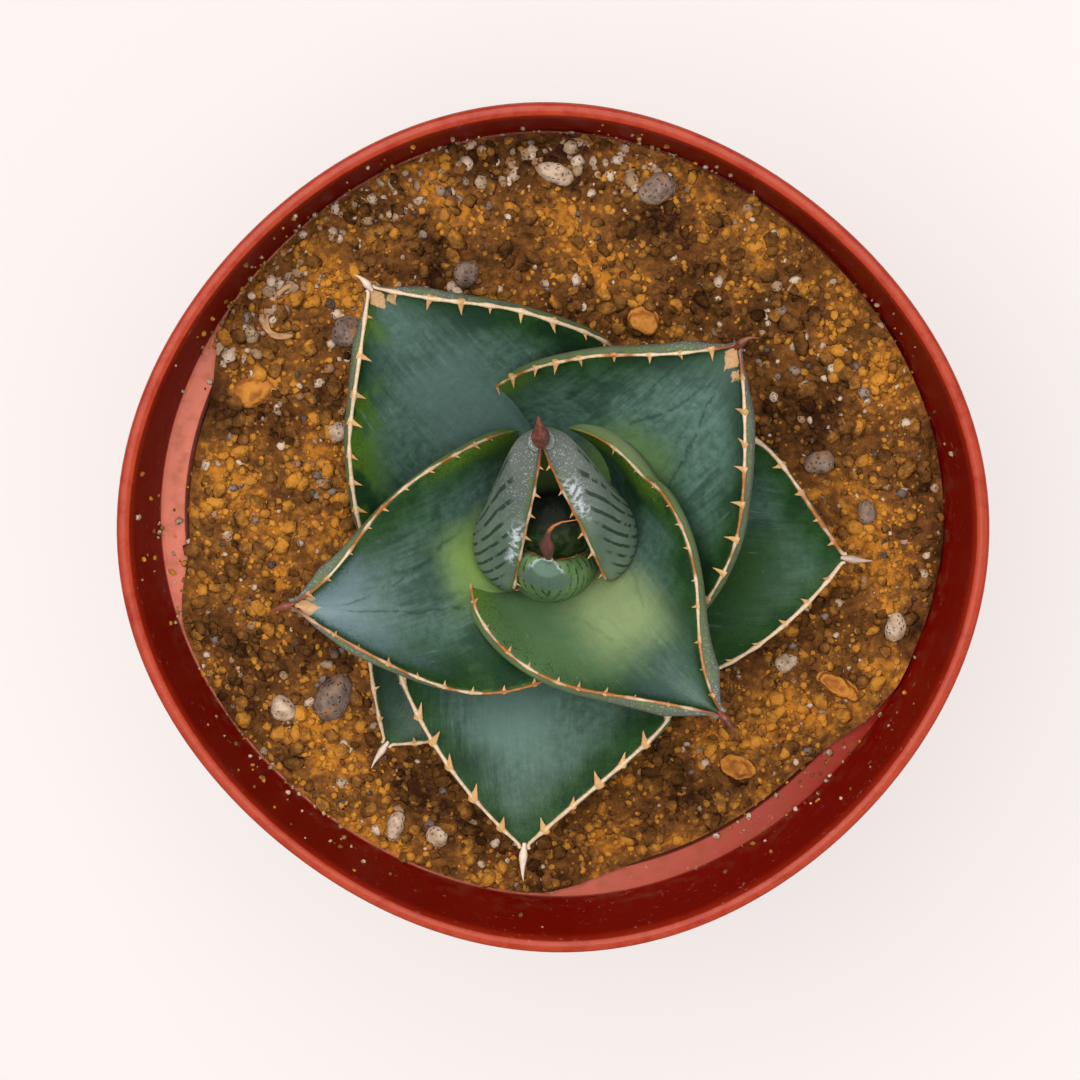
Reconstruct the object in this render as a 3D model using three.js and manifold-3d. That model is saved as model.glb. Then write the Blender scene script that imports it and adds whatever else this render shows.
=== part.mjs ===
// A young agave in a round plastic nursery pot, with its potting mix and the loose
// stones and chips that lie on it. Millimetres, +Z up. The origin is the middle of the
// pot's foot, on the surface it stands on. Angles are in degrees, anticlockwise from +X.

import * as THREE from "three";
import { mergeVertices } from "three/addons/utils/BufferGeometryUtils.js";
import Module from "manifold-3d";

const wasm = await Module();
wasm.setup();

// ---- Driving dimensions ---------------------------------------------------------------

const POT_HEIGHT = 92; // foot to rim
const RIM_RADIUS = 52.5; // outer radius of the rim, before the pot is squeezed
const FOOT_RADIUS = 38.5; // outer radius at the foot
const WALL = 1.4; // wall, floor and foot ring
const RIM_LIP = 1.7; // width of the rolled rim, seen from above
const RIM_DEPTH = 2.6; // height of the rolled rim
const COLLAR_DEPTH = 15; // rim down to the inner ledge
const COLLAR_DRAFT = 2; // how far the collar closes in over its depth
const LEDGE_WIDTH = 3; // inner ledge under the collar
const FLOOR_RISE = 4; // height of the foot ring under the floor
const DRAIN_RADIUS = 4; // each drain hole in the floor
const DRAIN_COUNT = 8;
const FOOT_NOTCH_WIDTH = 7; // air gaps in the foot ring
const FOOT_NOTCH_HEIGHT = 1.6;

const SOIL_DROP = 13; // rim down to the mean surface of the mix
const SOIL_SHOULDER = 2; // depth of mix that lies over the inner ledge
const STEM_RADIUS = 7; // short stem where it leaves the mix
const STEM_HEIGHT = 13.5; // stem above the mix
const ROOT_DEPTH = 14; // root crown below the surface of the mix

const PLANT_OFFSET = 2.5; // the rosette grows this far off the middle, towards +Y
const LEAF_THICKNESS = 4.5; // a grown leaf on its midrib, at the base
const MARGIN_THICKNESS = 0.26; // a leaf's edge, as a share of its midrib
const SPINE_LENGTH = 3.4; // spine at the tip of each leaf
const SPINE_HALF = 0.6; // half the width of that spine at its base

const GAP = 0.3; // clearance between pieces that touch

// ---- Mesh resolution --------------------------------------------------------------------

const POT_SEGMENTS = 48;
const SOIL_SEGMENTS = 40;
const LEAF_ROWS = 10; // steps along a leaf
const LEAF_COLUMNS = 8; // steps across a leaf
const SPINE_ROWS = 1; // and along its spine

// ---- Heights and radii that follow from them ----------------------------------------------

const SOIL_LEVEL = POT_HEIGHT - SOIL_DROP;
const LEDGE_LEVEL = POT_HEIGHT - COLLAR_DEPTH;
const COLLAR_TOP_RADIUS = RIM_RADIUS - RIM_LIP;
const LEDGE_OUTER_RADIUS = COLLAR_TOP_RADIUS - COLLAR_DRAFT;
const LEDGE_INNER_RADIUS = LEDGE_OUTER_RADIUS - LEDGE_WIDTH;
const FLOOR_INNER_RADIUS = FOOT_RADIUS - WALL;
const FLOOR_TOP = FLOOR_RISE + WALL;
const SHOULDER_LEVEL = Math.min(LEDGE_LEVEL, SOIL_LEVEL - SOIL_SHOULDER) + GAP;

// ---- Small helpers ------------------------------------------------------------------------

const radians = THREE.MathUtils.degToRad;
const smooth = (t) => t * t * (3 - 2 * t);
const clamp = THREE.MathUtils.clamp;

function finish(color, roughness) {
  return new THREE.MeshStandardMaterial({ color, roughness, metalness: 0 });
}

// A closed geometry becomes a solid: shared corners are merged, triangles that have
// shrunk to a line are dropped, and the faces are turned to point outwards.
function solidOf(source) {
  const geometry = source.index ? source.clone() : mergeVertices(source);
  geometry.deleteAttribute("normal");
  geometry.deleteAttribute("uv");
  const merged = mergeVertices(geometry, 1e-4);
  const corners = merged.attributes.position;
  const triangles = [];
  let volume = 0;
  const [a, b, c] = [new THREE.Vector3(), new THREE.Vector3(), new THREE.Vector3()];
  for (let i = 0; i < merged.index.count; i += 3) {
    const [p, q, r] = [0, 1, 2].map((k) => merged.index.getX(i + k));
    if (p === q || q === r || r === p) continue;
    triangles.push(p, q, r);
    a.fromBufferAttribute(corners, p);
    b.fromBufferAttribute(corners, q);
    c.fromBufferAttribute(corners, r);
    volume += a.dot(b.cross(c));
  }
  if (volume < 0) triangles.reverse();
  return new wasm.Manifold(new wasm.Mesh({
    numProp: 3,
    vertProperties: new Float32Array(corners.array),
    triVerts: new Uint32Array(triangles),
  }));
}

// What a cut leaves as loose scraps is dropped, and the largest body is kept.
function largestBody(solid) {
  return solid.decompose().reduce((best, one) => (one.volume() > best.volume() ? one : best));
}

function cutBy(solid, tools) {
  return tools.reduce((rest, tool) => rest.subtract(tool), solid);
}

function meshOf(name, solid, material) {
  const result = solid.getMesh();
  const geometry = new THREE.BufferGeometry();
  geometry.setAttribute("position", new THREE.BufferAttribute(result.vertProperties, 3));
  geometry.setIndex(new THREE.BufferAttribute(result.triVerts, 1));
  geometry.computeVertexNormals();
  const mesh = new THREE.Mesh(geometry, material);
  mesh.name = name;
  return mesh;
}

// A profile of [radius, height] points turned about the Z axis.
function turned(profile, segments) {
  const points = profile.map(([radius, height]) => new THREE.Vector2(radius, height));
  return new THREE.LatheGeometry(points, segments).rotateX(Math.PI / 2);
}

// Handling has squeezed the thin pot a little out of round, more at the rim than lower down.
function squeeze(angle, height) {
  const oval = 0.0105 * Math.cos(2 * (angle - radians(-17)));
  const square = 0.012 * Math.cos(4 * (angle - radians(3.5)));
  return 1 + (oval + square) * (height / POT_HEIGHT);
}

function squeezed(geometry) {
  const corners = geometry.attributes.position;
  for (let i = 0; i < corners.count; i += 1) {
    const [x, y, z] = [corners.getX(i), corners.getY(i), corners.getZ(i)];
    const factor = squeeze(Math.atan2(y, x), z);
    corners.setXY(i, x * factor, y * factor);
  }
  return geometry;
}

// ---- Pot ----------------------------------------------------------------------------------

// One moulded shell: foot ring, raised floor, tapered body, wider collar and rolled rim.
function pot() {
  const collarFoot = LEDGE_LEVEL - WALL;
  const rimFoot = POT_HEIGHT - RIM_DEPTH;
  const rimRound = RIM_LIP / 4;
  const profile = [
    [0, FLOOR_RISE],
    [FLOOR_INNER_RADIUS, FLOOR_RISE],
    [FLOOR_INNER_RADIUS, 0],
    [FOOT_RADIUS, 0],
    [LEDGE_INNER_RADIUS + WALL, collarFoot - 2 * WALL],
    [LEDGE_OUTER_RADIUS + WALL, collarFoot],
    [COLLAR_TOP_RADIUS + WALL / 2, rimFoot],
    [RIM_RADIUS - rimRound, rimFoot],
    [RIM_RADIUS, rimFoot + rimRound],
    [RIM_RADIUS, POT_HEIGHT - rimRound],
    [RIM_RADIUS - rimRound, POT_HEIGHT],
    [COLLAR_TOP_RADIUS + rimRound, POT_HEIGHT],
    [COLLAR_TOP_RADIUS, POT_HEIGHT - rimRound],
    [LEDGE_OUTER_RADIUS, LEDGE_LEVEL],
    [LEDGE_INNER_RADIUS, LEDGE_LEVEL],
    [FLOOR_INNER_RADIUS, FLOOR_TOP],
    [0, FLOOR_TOP],
  ];
  const shell = solidOf(squeezed(turned(profile, POT_SEGMENTS)));
  return cutBy(shell, [...drainHoles(), ...footNotches()]);
}

function drainHoles() {
  const ringRadius = FLOOR_INNER_RADIUS - 2 * DRAIN_RADIUS;
  return Array.from({ length: DRAIN_COUNT }, (_, i) => {
    const angle = (i + 0.5) * (2 * Math.PI / DRAIN_COUNT);
    const hole = new THREE.CylinderGeometry(DRAIN_RADIUS, DRAIN_RADIUS, 3 * WALL, 12);
    hole.rotateX(Math.PI / 2);
    hole.translate(ringRadius * Math.cos(angle), ringRadius * Math.sin(angle), FLOOR_RISE + WALL / 2);
    return solidOf(hole);
  });
}

function footNotches() {
  return [45, 135].map((angle) => {
    const slot = new THREE.BoxGeometry(3 * FOOT_RADIUS, FOOT_NOTCH_WIDTH, 2 * FOOT_NOTCH_HEIGHT);
    return solidOf(slot.rotateZ(radians(angle)));
  });
}

// ---- Potting mix ----------------------------------------------------------------------------

// The surface rolls gently, and lies a little higher towards +X +Y.
function soilHeight(x, y) {
  const rolls = 0.5 * Math.sin(0.31 * x + 1.3) * Math.cos(0.27 * y)
    + 0.35 * Math.sin(0.53 * x - 0.41 * y + 0.6)
    + 0.25 * Math.cos(0.7 * x + 0.6 * y);
  return SOIL_LEVEL + rolls + 0.014 * (x + y);
}

// 1 where watering has washed the mix off the pot's inner ledge, 0 where it covers it.
function ledgeBare(angle) {
  const away = (from) => Math.abs(Math.atan2(Math.sin(angle - from), Math.cos(angle - from)));
  const patch = (from, spread) => smooth(clamp(1.6 - 1.6 * away(radians(from)) / radians(spread), 0, 1));
  return Math.max(patch(172, 26), patch(300, 36));
}

// The inside of the pot's tapered body at a height below the ledge.
function bodyRadius(height) {
  const share = (height - FLOOR_TOP) / (LEDGE_LEVEL - FLOOR_TOP);
  return FLOOR_INNER_RADIUS + (LEDGE_INNER_RADIUS - FLOOR_INNER_RADIUS) * Math.min(share, 1);
}

// The mix ends at the collar where it is deep enough to cover the ledge, else in the body.
function soilEdge(angle) {
  const bare = bodyRadius(SHOULDER_LEVEL) - 2 * GAP;
  const covered = SHOULDER_LEVEL > LEDGE_LEVEL ? LEDGE_OUTER_RADIUS - GAP : bare;
  return covered + (bare - covered) * ledgeBare(angle);
}

// A plug of mix that fills the pot, with its top ring ending at the collar or on the body.
function pottingMix() {
  const low = FLOOR_TOP + GAP;
  const rings = [1, 0.92, 0.78, 0.6, 0.4, 0.2];
  const profile = [
    [0, low],
    [FLOOR_INNER_RADIUS - GAP, low],
    [bodyRadius(SHOULDER_LEVEL) - GAP, SHOULDER_LEVEL],
    [1, SHOULDER_LEVEL],
    ...rings.map((share) => [share, SOIL_LEVEL]),
    [0, SOIL_LEVEL],
  ];
  const geometry = turned(profile, SOIL_SEGMENTS);
  const corners = geometry.attributes.position;
  const wall = 3; // the first profile points, which follow the pot's wall as they are
  for (let i = 0; i < corners.count; i += 1) {
    const ring = i % profile.length;
    if (ring < wall) continue;
    const angle = Math.atan2(corners.getY(i), corners.getX(i));
    const reach = soilEdge(angle) * profile[ring][0];
    const [x, y] = [reach * Math.cos(angle), reach * Math.sin(angle)];
    const foot = SHOULDER_LEVEL + GAP * ledgeBare(angle);
    const crumbled = profile[ring][0] === 1 ? 0.7 : 0;
    const top = Math.max(soilHeight(x, y) - crumbled, foot + GAP);
    corners.setXYZ(i, x, y, ring === wall ? foot : top);
  }
  return solidOf(squeezed(geometry));
}

// ---- Stem -------------------------------------------------------------------------------------

function stem(grow) {
  const profile = [
    [0, SOIL_LEVEL - ROOT_DEPTH - grow],
    [STEM_RADIUS * 0.5 + grow, SOIL_LEVEL - ROOT_DEPTH - grow],
    [STEM_RADIUS * 1.15 + grow, SOIL_LEVEL - ROOT_DEPTH * 0.6],
    [STEM_RADIUS * 1.15 + grow, SOIL_LEVEL - ROOT_DEPTH * 0.2],
    [STEM_RADIUS + grow, SOIL_LEVEL],
    [STEM_RADIUS * 0.95 + grow, SOIL_LEVEL + STEM_HEIGHT * 0.5],
    [STEM_RADIUS * 0.75 + grow, SOIL_LEVEL + STEM_HEIGHT * 0.85 + grow],
    [STEM_RADIUS * 0.35 + grow, SOIL_LEVEL + STEM_HEIGHT + grow],
    [0, SOIL_LEVEL + STEM_HEIGHT + grow],
  ];
  return solidOf(turned(profile, 20).translate(0, PLANT_OFFSET / 2, 0));
}

// ---- Leaves -------------------------------------------------------------------------------------

// From the youngest, in the middle, to the oldest, low at the side. A leaf leaves the stem at
// its seat, [out from the axis, up from the mix], in the direction azimuth, which turns by
// drift towards the tip. Its midrib is an arc that climbs at rise[0] and ends at rise[1].
// half is half its greatest width, reached at the share widest of its length; foot is the
// width there at the base. taper shapes the run to the tip. wrap is half the angle that its
// cross-section curls through at the base, in the middle and at the tip. oval is the depth
// of that curl as a share of a round one's, where it isn't 1.
const LEAVES = [
  { name: "leaf_bud", azimuth: 268, drift: -12, length: 21, rise: [96, 122], half: 8,
    foot: 0.9, widest: 0.3, taper: 1.5, wrap: [95, 95, 90], skew: 0, seat: [9.6, 12],
    thickness: 0.4 },
  { name: "leaf_heart", azimuth: 96, drift: 1, length: 31.5, rise: [71, 80], half: 20.5,
    foot: 0.88, widest: 0.3, taper: 1.35, wrap: [137, 141, 150], skew: 0, seat: [4.2, 8],
    thickness: 0.5, oval: 0.8 },
  { name: "leaf_southeast", azimuth: 305, drift: 8, length: 35, rise: [82, 11], half: 16,
    foot: 0.86, widest: 0.3, taper: 1.4, wrap: [88, 36, 95], skew: -0.05, seat: [6.5, 7.5],
    thickness: 1 },
  { name: "leaf_west", azimuth: 212, drift: -16, length: 39.5, rise: [77, -3], half: 15.5,
    foot: 0.88, widest: 0.25, taper: 2.4, wrap: [61, 17, 95], skew: 0.12, seat: [3.5, 4],
    thickness: 1 },
  { name: "leaf_northeast", azimuth: 33, drift: 12, length: 35, rise: [63, 15], half: 20,
    foot: 0.95, widest: 0.28, taper: 2.1, wrap: [38, 44, 69], skew: -0.09, seat: [4.5, 3],
    thickness: 1 },
  { name: "leaf_south", azimuth: 255, drift: 10, length: 36.5, rise: [44, -1], half: 18,
    foot: 0.6, widest: 0.5, taper: 1.15, wrap: [60, 36, 36], skew: 0.15, seat: [8, 3],
    thickness: 1 },
  { name: "leaf_northwest", azimuth: 130, drift: -2, length: 32.5, rise: [46, 9], half: 20,
    foot: 0.6, widest: 0.26, taper: 1.7, wrap: [20, 36, 68], skew: 0.04, seat: [7.5, 2.5],
    thickness: 1 },
  { name: "leaf_east", azimuth: 340, drift: 11, length: 30, rise: [33, -5], half: 16.5,
    foot: 0.6, widest: 0.48, taper: 1.45, wrap: [55, 28, 44], skew: 0.04, seat: [8, 2.5],
    thickness: 0.9 },
  { name: "leaf_southwest", azimuth: 236, drift: -1, length: 29, rise: [19, -4], half: 11,
    foot: 0.6, widest: 0.58, taper: 1.35, wrap: [50, 26, 44], skew: 0, seat: [8, 2.5],
    thickness: 0.75 },
];

// The leaf's frame and cross-section at the share u of its length. Past 1 the midrib runs
// straight on into the spine, which ends at 2.
function station(leaf, u) {
  const blade = Math.min(u, 1);
  const beyond = Math.max(u - 1, 0);
  const [from, to] = leaf.rise.map(radians);
  const rise = from + (to - from) * blade;
  const bend = leaf.length / (to - from);
  const out = leaf.seat[0] + bend * (Math.sin(rise) - Math.sin(from))
    + SPINE_LENGTH * beyond * Math.cos(rise);
  const up = SOIL_LEVEL + leaf.seat[1] + bend * (Math.cos(from) - Math.cos(rise))
    + SPINE_LENGTH * beyond * Math.sin(rise);
  const azimuth = radians(leaf.azimuth + leaf.drift * blade * blade);
  const outward = new THREE.Vector3(Math.cos(azimuth), Math.sin(azimuth), 0);
  const upward = new THREE.Vector3(0, 0, 1);

  const rising = Math.sin((Math.PI / 2) * Math.min(blade / leaf.widest, 1));
  const falling = Math.max((blade - leaf.widest) / (1 - leaf.widest), 0) ** leaf.taper;
  const share = blade < leaf.widest ? leaf.foot + (1 - leaf.foot) * rising : 1 - falling;
  const half = Math.max(leaf.half * share, SPINE_HALF) * (1 - 0.85 * beyond);

  const [wrapFoot, wrapMiddle, wrapTip] = leaf.wrap.map(radians);
  const lower = smooth(clamp(blade / 0.6, 0, 1));
  const upper = smooth(clamp((blade - 0.6) / 0.4, 0, 1));
  const wrap = wrapFoot + (wrapMiddle - wrapFoot) * lower + (wrapTip - wrapMiddle) * upper;

  const thinning = (1 - 0.25 * blade) * clamp((1 - blade) / 0.12, 0.25, 1);
  const radius = half / wrap;
  const oval = leaf.oval ?? 1;
  const normal = outward.clone().multiplyScalar(-Math.sin(rise)).addScaledVector(upward, Math.cos(rise));
  return {
    // The midrib moves in as the section gets shallower, so that the margins stay in place.
    middle: outward.clone().multiplyScalar(out).addScaledVector(upward, up)
      .add(new THREE.Vector3(0, PLANT_OFFSET, 0))
      .addScaledVector(normal, radius * (1 - oval) * (1 - Math.cos(wrap))),
    along: outward.clone().multiplyScalar(Math.cos(rise)).addScaledVector(upward, Math.sin(rise)),
    normal,
    side: new THREE.Vector3(-Math.sin(azimuth), Math.cos(azimuth), 0),
    half,
    radius,
    oval,
    thickness: LEAF_THICKNESS * leaf.thickness * thinning * (1 - 0.85 * beyond),
  };
}

// The points above and below the leaf's inner surface, at s from -1 to 1 across it.
function acrossLeaf(leaf, at, s, grow) {
  const arc = at.half * (1 + leaf.skew * s) * s * (1 + grow / at.half);
  const turn = clamp(arc / at.radius, -3, 3);
  const normal = at.normal.clone().multiplyScalar(Math.cos(turn))
    .addScaledVector(at.side, -Math.sin(turn));
  const point = at.middle.clone()
    .addScaledVector(at.normal, at.radius * at.oval * (1 - Math.cos(turn)))
    .addScaledVector(at.side, at.radius * Math.sin(turn));
  const thickness = at.thickness * Math.sqrt(1 - (1 - MARGIN_THICKNESS ** 2) * s * s);
  const inside = Math.min(0.15 * thickness + grow, 0.6 * at.radius);
  return [
    point.clone().addScaledVector(normal, inside),
    point.clone().addScaledVector(normal, -0.85 * thickness - grow),
  ];
}

// A closed skin over rows of [upper, lower] points: two faces, two edges and two ends.
function skin(rows) {
  const columns = rows[0].length;
  const positions = [];
  rows.forEach((row) => row.forEach((pair) => pair.forEach((p) => positions.push(p.x, p.y, p.z))));
  const at = (row, column, layer) => 2 * (row * columns + column) + layer;
  const triangles = [];
  const quad = (a, b, c, d) => triangles.push(a, b, c, a, c, d);
  for (let i = 0; i + 1 < rows.length; i += 1) {
    for (let j = 0; j + 1 < columns; j += 1) {
      quad(at(i, j, 0), at(i + 1, j, 0), at(i + 1, j + 1, 0), at(i, j + 1, 0));
      quad(at(i, j, 1), at(i, j + 1, 1), at(i + 1, j + 1, 1), at(i + 1, j, 1));
    }
    quad(at(i, 0, 0), at(i, 0, 1), at(i + 1, 0, 1), at(i + 1, 0, 0));
    quad(at(i, columns - 1, 0), at(i + 1, columns - 1, 0), at(i + 1, columns - 1, 1), at(i, columns - 1, 1));
  }
  for (let j = 0; j + 1 < columns; j += 1) {
    quad(at(0, j, 0), at(0, j + 1, 0), at(0, j + 1, 1), at(0, j, 1));
    quad(at(rows.length - 1, j, 0), at(rows.length - 1, j, 1),
      at(rows.length - 1, j + 1, 1), at(rows.length - 1, j + 1, 0));
  }
  const geometry = new THREE.BufferGeometry();
  geometry.setAttribute("position", new THREE.Float32BufferAttribute(positions, 3));
  geometry.setIndex(triangles);
  return geometry;
}

// The leaf with its spine, or with grow the space that its neighbours leave for it.
function leafBody(leaf, grow = 0) {
  const rows = [];
  for (let i = 0; i <= LEAF_ROWS + SPINE_ROWS; i += 1) {
    const u = i <= LEAF_ROWS ? i / LEAF_ROWS : 1 + (i - LEAF_ROWS) / SPINE_ROWS;
    const at = station(leaf, u);
    if (i === 0) at.middle.addScaledVector(at.along, -grow);
    if (i === LEAF_ROWS + SPINE_ROWS) at.middle.addScaledVector(at.along, grow);
    const row = [];
    for (let j = 0; j <= LEAF_COLUMNS; j += 1) {
      row.push(acrossLeaf(leaf, at, (2 * j) / LEAF_COLUMNS - 1, grow));
    }
    rows.push(row);
  }
  return solidOf(skin(rows));
}

// The space inside a leaf that curls into a cone, where no outer leaf reaches.
function insideOf(leaf) {
  const rings = [];
  for (let i = 0; i <= 6; i += 1) {
    const at = station(leaf, (0.8 * i) / 6);
    const centre = at.middle.clone().addScaledVector(at.normal, at.radius * at.oval);
    rings.push(Array.from({ length: 16 }, (_, j) => {
      const turn = (j * Math.PI) / 8;
      return centre.clone()
        .addScaledVector(at.normal, (at.radius * at.oval + GAP) * Math.cos(turn))
        .addScaledVector(at.side, (at.radius + GAP) * Math.sin(turn));
    }));
  }
  return solidOf(stackOfRings(rings));
}

function stackOfRings(rings) {
  const count = rings[0].length;
  const positions = rings.flat().flatMap((p) => [p.x, p.y, p.z]);
  const triangles = [];
  for (let i = 0; i + 1 < rings.length; i += 1) {
    for (let j = 0; j < count; j += 1) {
      const [a, b] = [i * count + j, i * count + ((j + 1) % count)];
      triangles.push(a, b, b + count, a, b + count, a + count);
    }
  }
  const last = (rings.length - 1) * count;
  for (let j = 1; j + 1 < count; j += 1) {
    triangles.push(0, j + 1, j, last, last + j, last + j + 1);
  }
  const geometry = new THREE.BufferGeometry();
  geometry.setAttribute("position", new THREE.Float32BufferAttribute(positions, 3));
  geometry.setIndex(triangles);
  return geometry;
}

// ---- Loose pieces on the mix --------------------------------------------------------------------

// Each lies at angle, out from the middle by the share reach of the room that the pot
// leaves. size is its length, width and height, and turn its heading.
const PUMICE = { color: 0xd8cbb8, roughness: 0.95 };
const GRAVEL = { color: 0x8c7a6b, roughness: 0.85 };
const BARK = { color: 0xb8702a, roughness: 0.9 };
const LOOSE = [
  { name: "pumice_1", stuff: PUMICE, angle: 90, reach: 0.97, size: [5.2, 3.2, 2.8], turn: -20 },
  { name: "pumice_2", stuff: PUMICE, angle: 157, reach: 0.66, size: [2.8, 2.4, 2.4], turn: 10 },
  { name: "pumice_3", stuff: PUMICE, angle: 329, reach: 0.76, size: [3.2, 2.6, 2.6], turn: 40 },
  { name: "pumice_4", stuff: PUMICE, angle: 243, reach: 0.98, size: [4, 3, 2.8], turn: 75 },
  { name: "pumice_5", stuff: PUMICE, angle: 250, reach: 0.95, size: [3.4, 3, 2.6], turn: 15 },
  { name: "pumice_6", stuff: PUMICE, angle: 215, reach: 0.93, size: [4.4, 3.2, 3], turn: 130 },
  { name: "pumice_7", stuff: PUMICE, angle: 343, reach: 0.98, size: [4, 3.4, 2.8], turn: 80 },
  { name: "gravel_1", stuff: GRAVEL, angle: 73, reach: 0.97, size: [5, 4, 3.6], turn: 30 },
  { name: "gravel_2", stuff: GRAVEL, angle: 137, reach: 0.78, size: [4.6, 4, 3.6], turn: 0 },
  { name: "gravel_3", stuff: GRAVEL, angle: 219, reach: 0.82, size: [7, 5, 4], turn: 60 },
  { name: "gravel_4", stuff: GRAVEL, angle: 2, reach: 0.84, size: [3.4, 3, 2.8], turn: 100 },
  { name: "gravel_5", stuff: GRAVEL, angle: 13, reach: 0.74, size: [4.6, 3.4, 3], turn: 15 },
  { name: "gravel_6", stuff: GRAVEL, angle: 109, reach: 0.72, size: [4, 3.6, 3], turn: 50 },
  { name: "bark_chip_1", stuff: BARK, angle: 156, reach: 0.97, size: [7, 4.2, 2.4], turn: 20 },
  { name: "bark_chip_2", stuff: BARK, angle: 66, reach: 0.62, size: [4.4, 3.6, 2.4], turn: -30 },
  { name: "bark_chip_3", stuff: BARK, angle: 307, reach: 0.95, size: [5, 3.4, 2.2], turn: 160 },
  { name: "bark_chip_4", stuff: BARK, angle: 330, reach: 0.97, size: [7.5, 2.4, 2.2], turn: 150 },
];
const SUNK = 0.4; // share of a stone's height below the surface

// A place on the surface for a piece that long: at reach 1 it lies close against the wall.
function placeOnSoil(angle, reach, length) {
  const bearing = radians(angle);
  const edge = soilEdge(bearing) * squeeze(bearing, SOIL_LEVEL);
  const out = (edge - 0.65 * length) * reach;
  const [x, y] = [out * Math.cos(bearing), out * Math.sin(bearing)];
  return new THREE.Vector3(x, y, soilHeight(x, y));
}

// A worn lump: a faceted ball with low, broad dents, no two alike.
function stone(piece, index, grow = 0) {
  const geometry = new THREE.IcosahedronGeometry(1, 1);
  const corners = geometry.attributes.position;
  for (let i = 0; i < corners.count; i += 1) {
    const p = new THREE.Vector3().fromBufferAttribute(corners, i);
    const dent = 0.11 * Math.sin(2.3 * p.x + 1.7 * index) + 0.09 * Math.cos(3.1 * p.y - 2.1 * index)
      + 0.06 * Math.sin(2.9 * p.z + index);
    p.multiplyScalar(1 + dent);
    corners.setXYZ(i, p.x, p.y, p.z);
  }
  const [length, width, height] = piece.size.map((side) => side / 2 + grow);
  geometry.scale(length, width, height);
  geometry.rotateZ(radians(piece.turn));
  const place = placeOnSoil(piece.angle, piece.reach, piece.size[0]);
  geometry.translate(place.x, place.y, place.z + piece.size[2] * (0.5 - SUNK));
  return solidOf(geometry);
}

// A dry root that arches on the surface, a half ring about as wide as a pencil's lead.
const ROOT = { angle: 141, reach: 0.96, ring: 2.6, thickness: 1.2, turn: 50 };

function rootFragment(grow = 0) {
  const radius = ROOT.thickness / 2 + grow;
  const sweep = radians(200);
  const slack = grow / ROOT.ring;
  const curve = new THREE.Curve();
  curve.getPoint = (t) => {
    const turn = radians(40) - slack + (sweep + 2 * slack) * t;
    return new THREE.Vector3(ROOT.ring * 1.5 * Math.cos(turn), ROOT.ring * Math.sin(turn), 0);
  };
  const outline = new THREE.Shape();
  outline.absarc(0, 0, radius, 0, 2 * Math.PI);
  const geometry = new THREE.ExtrudeGeometry(outline, { steps: 8, curveSegments: 3, extrudePath: curve });
  const place = placeOnSoil(ROOT.angle, ROOT.reach, 2.5 * ROOT.ring);
  geometry.rotateZ(radians(ROOT.turn)).translate(place.x, place.y, place.z + ROOT.thickness * 0.3);
  return solidOf(geometry);
}

// ---- Assembly -------------------------------------------------------------------------------------

const group = new THREE.Group();
const add = (name, solid, material) => group.add(meshOf(name, solid, material));

const stemRoom = stem(GAP);
const rooms = Object.fromEntries(LEAVES.map((leaf) => [leaf.name, leafBody(leaf, GAP)]));
const heartRoom = insideOf(LEAVES.find((leaf) => leaf.name === "leaf_heart"));

add("pot", pot(), finish(0xb23a1e, 0.45));

const sockets = [
  stemRoom,
  ...Object.values(rooms),
  ...LOOSE.map((piece, i) => stone(piece, i, GAP)),
  rootFragment(GAP),
];
add("potting_mix", largestBody(cutBy(pottingMix(), sockets)), finish(0x7a4a22, 1));
add("stem", stem(0), finish(0x9fb27a, 0.6));

// Each leaf gives way to the stem and to the younger leaves that it wraps. Only the bud,
// which the heart leaf wraps, gives way to the leaf outside it.
LEAVES.forEach((leaf, i) => {
  const younger = LEAVES.slice(0, i).map((other) => rooms[other.name]);
  const bud = leaf.name === "leaf_bud";
  const heart = leaf.name === "leaf_heart";
  const tools = bud ? [stemRoom, rooms.leaf_heart] : heart ? [stemRoom] : [stemRoom, heartRoom, ...younger];
  add(leaf.name, largestBody(cutBy(leafBody(leaf), tools)), finish(0x3f6b57, 0.5));
});

LOOSE.forEach((piece, i) => {
  add(piece.name, stone(piece, i), finish(piece.stuff.color, piece.stuff.roughness));
});
add("root_fragment", rootFragment(), finish(0xb08a5a, 0.9));

export default group;
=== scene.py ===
# %% [markdown]
# # A potted agave
# A young agave stands in gritty mix in a round plastic nursery pot. The CAD model gives
# every piece its place and size. This script gives the pieces their looks: the leaf skins
# with their bloom, the horny margins and teeth, the crumbs of the mix and the moulded pot.
# The cells run from top to bottom. Each step first says what the real thing is.

# %% Load the frame
import math
import random

import bpy
import numpy as np
from mathutils import Matrix, Vector, noise


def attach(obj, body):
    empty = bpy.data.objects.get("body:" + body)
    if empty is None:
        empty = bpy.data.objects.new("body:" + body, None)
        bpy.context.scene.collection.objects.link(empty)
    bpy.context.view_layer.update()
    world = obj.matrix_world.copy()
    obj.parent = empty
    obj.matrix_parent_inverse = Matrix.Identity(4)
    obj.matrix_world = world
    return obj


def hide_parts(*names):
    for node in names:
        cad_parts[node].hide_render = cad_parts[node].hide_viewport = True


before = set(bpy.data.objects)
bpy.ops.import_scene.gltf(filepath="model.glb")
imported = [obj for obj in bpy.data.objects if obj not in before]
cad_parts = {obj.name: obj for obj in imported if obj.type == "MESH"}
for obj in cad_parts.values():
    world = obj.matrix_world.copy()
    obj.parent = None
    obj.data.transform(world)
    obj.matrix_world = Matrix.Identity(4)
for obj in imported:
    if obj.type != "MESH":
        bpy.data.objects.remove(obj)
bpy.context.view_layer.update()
bpy.ops.object.select_all(action="DESELECT")

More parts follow.
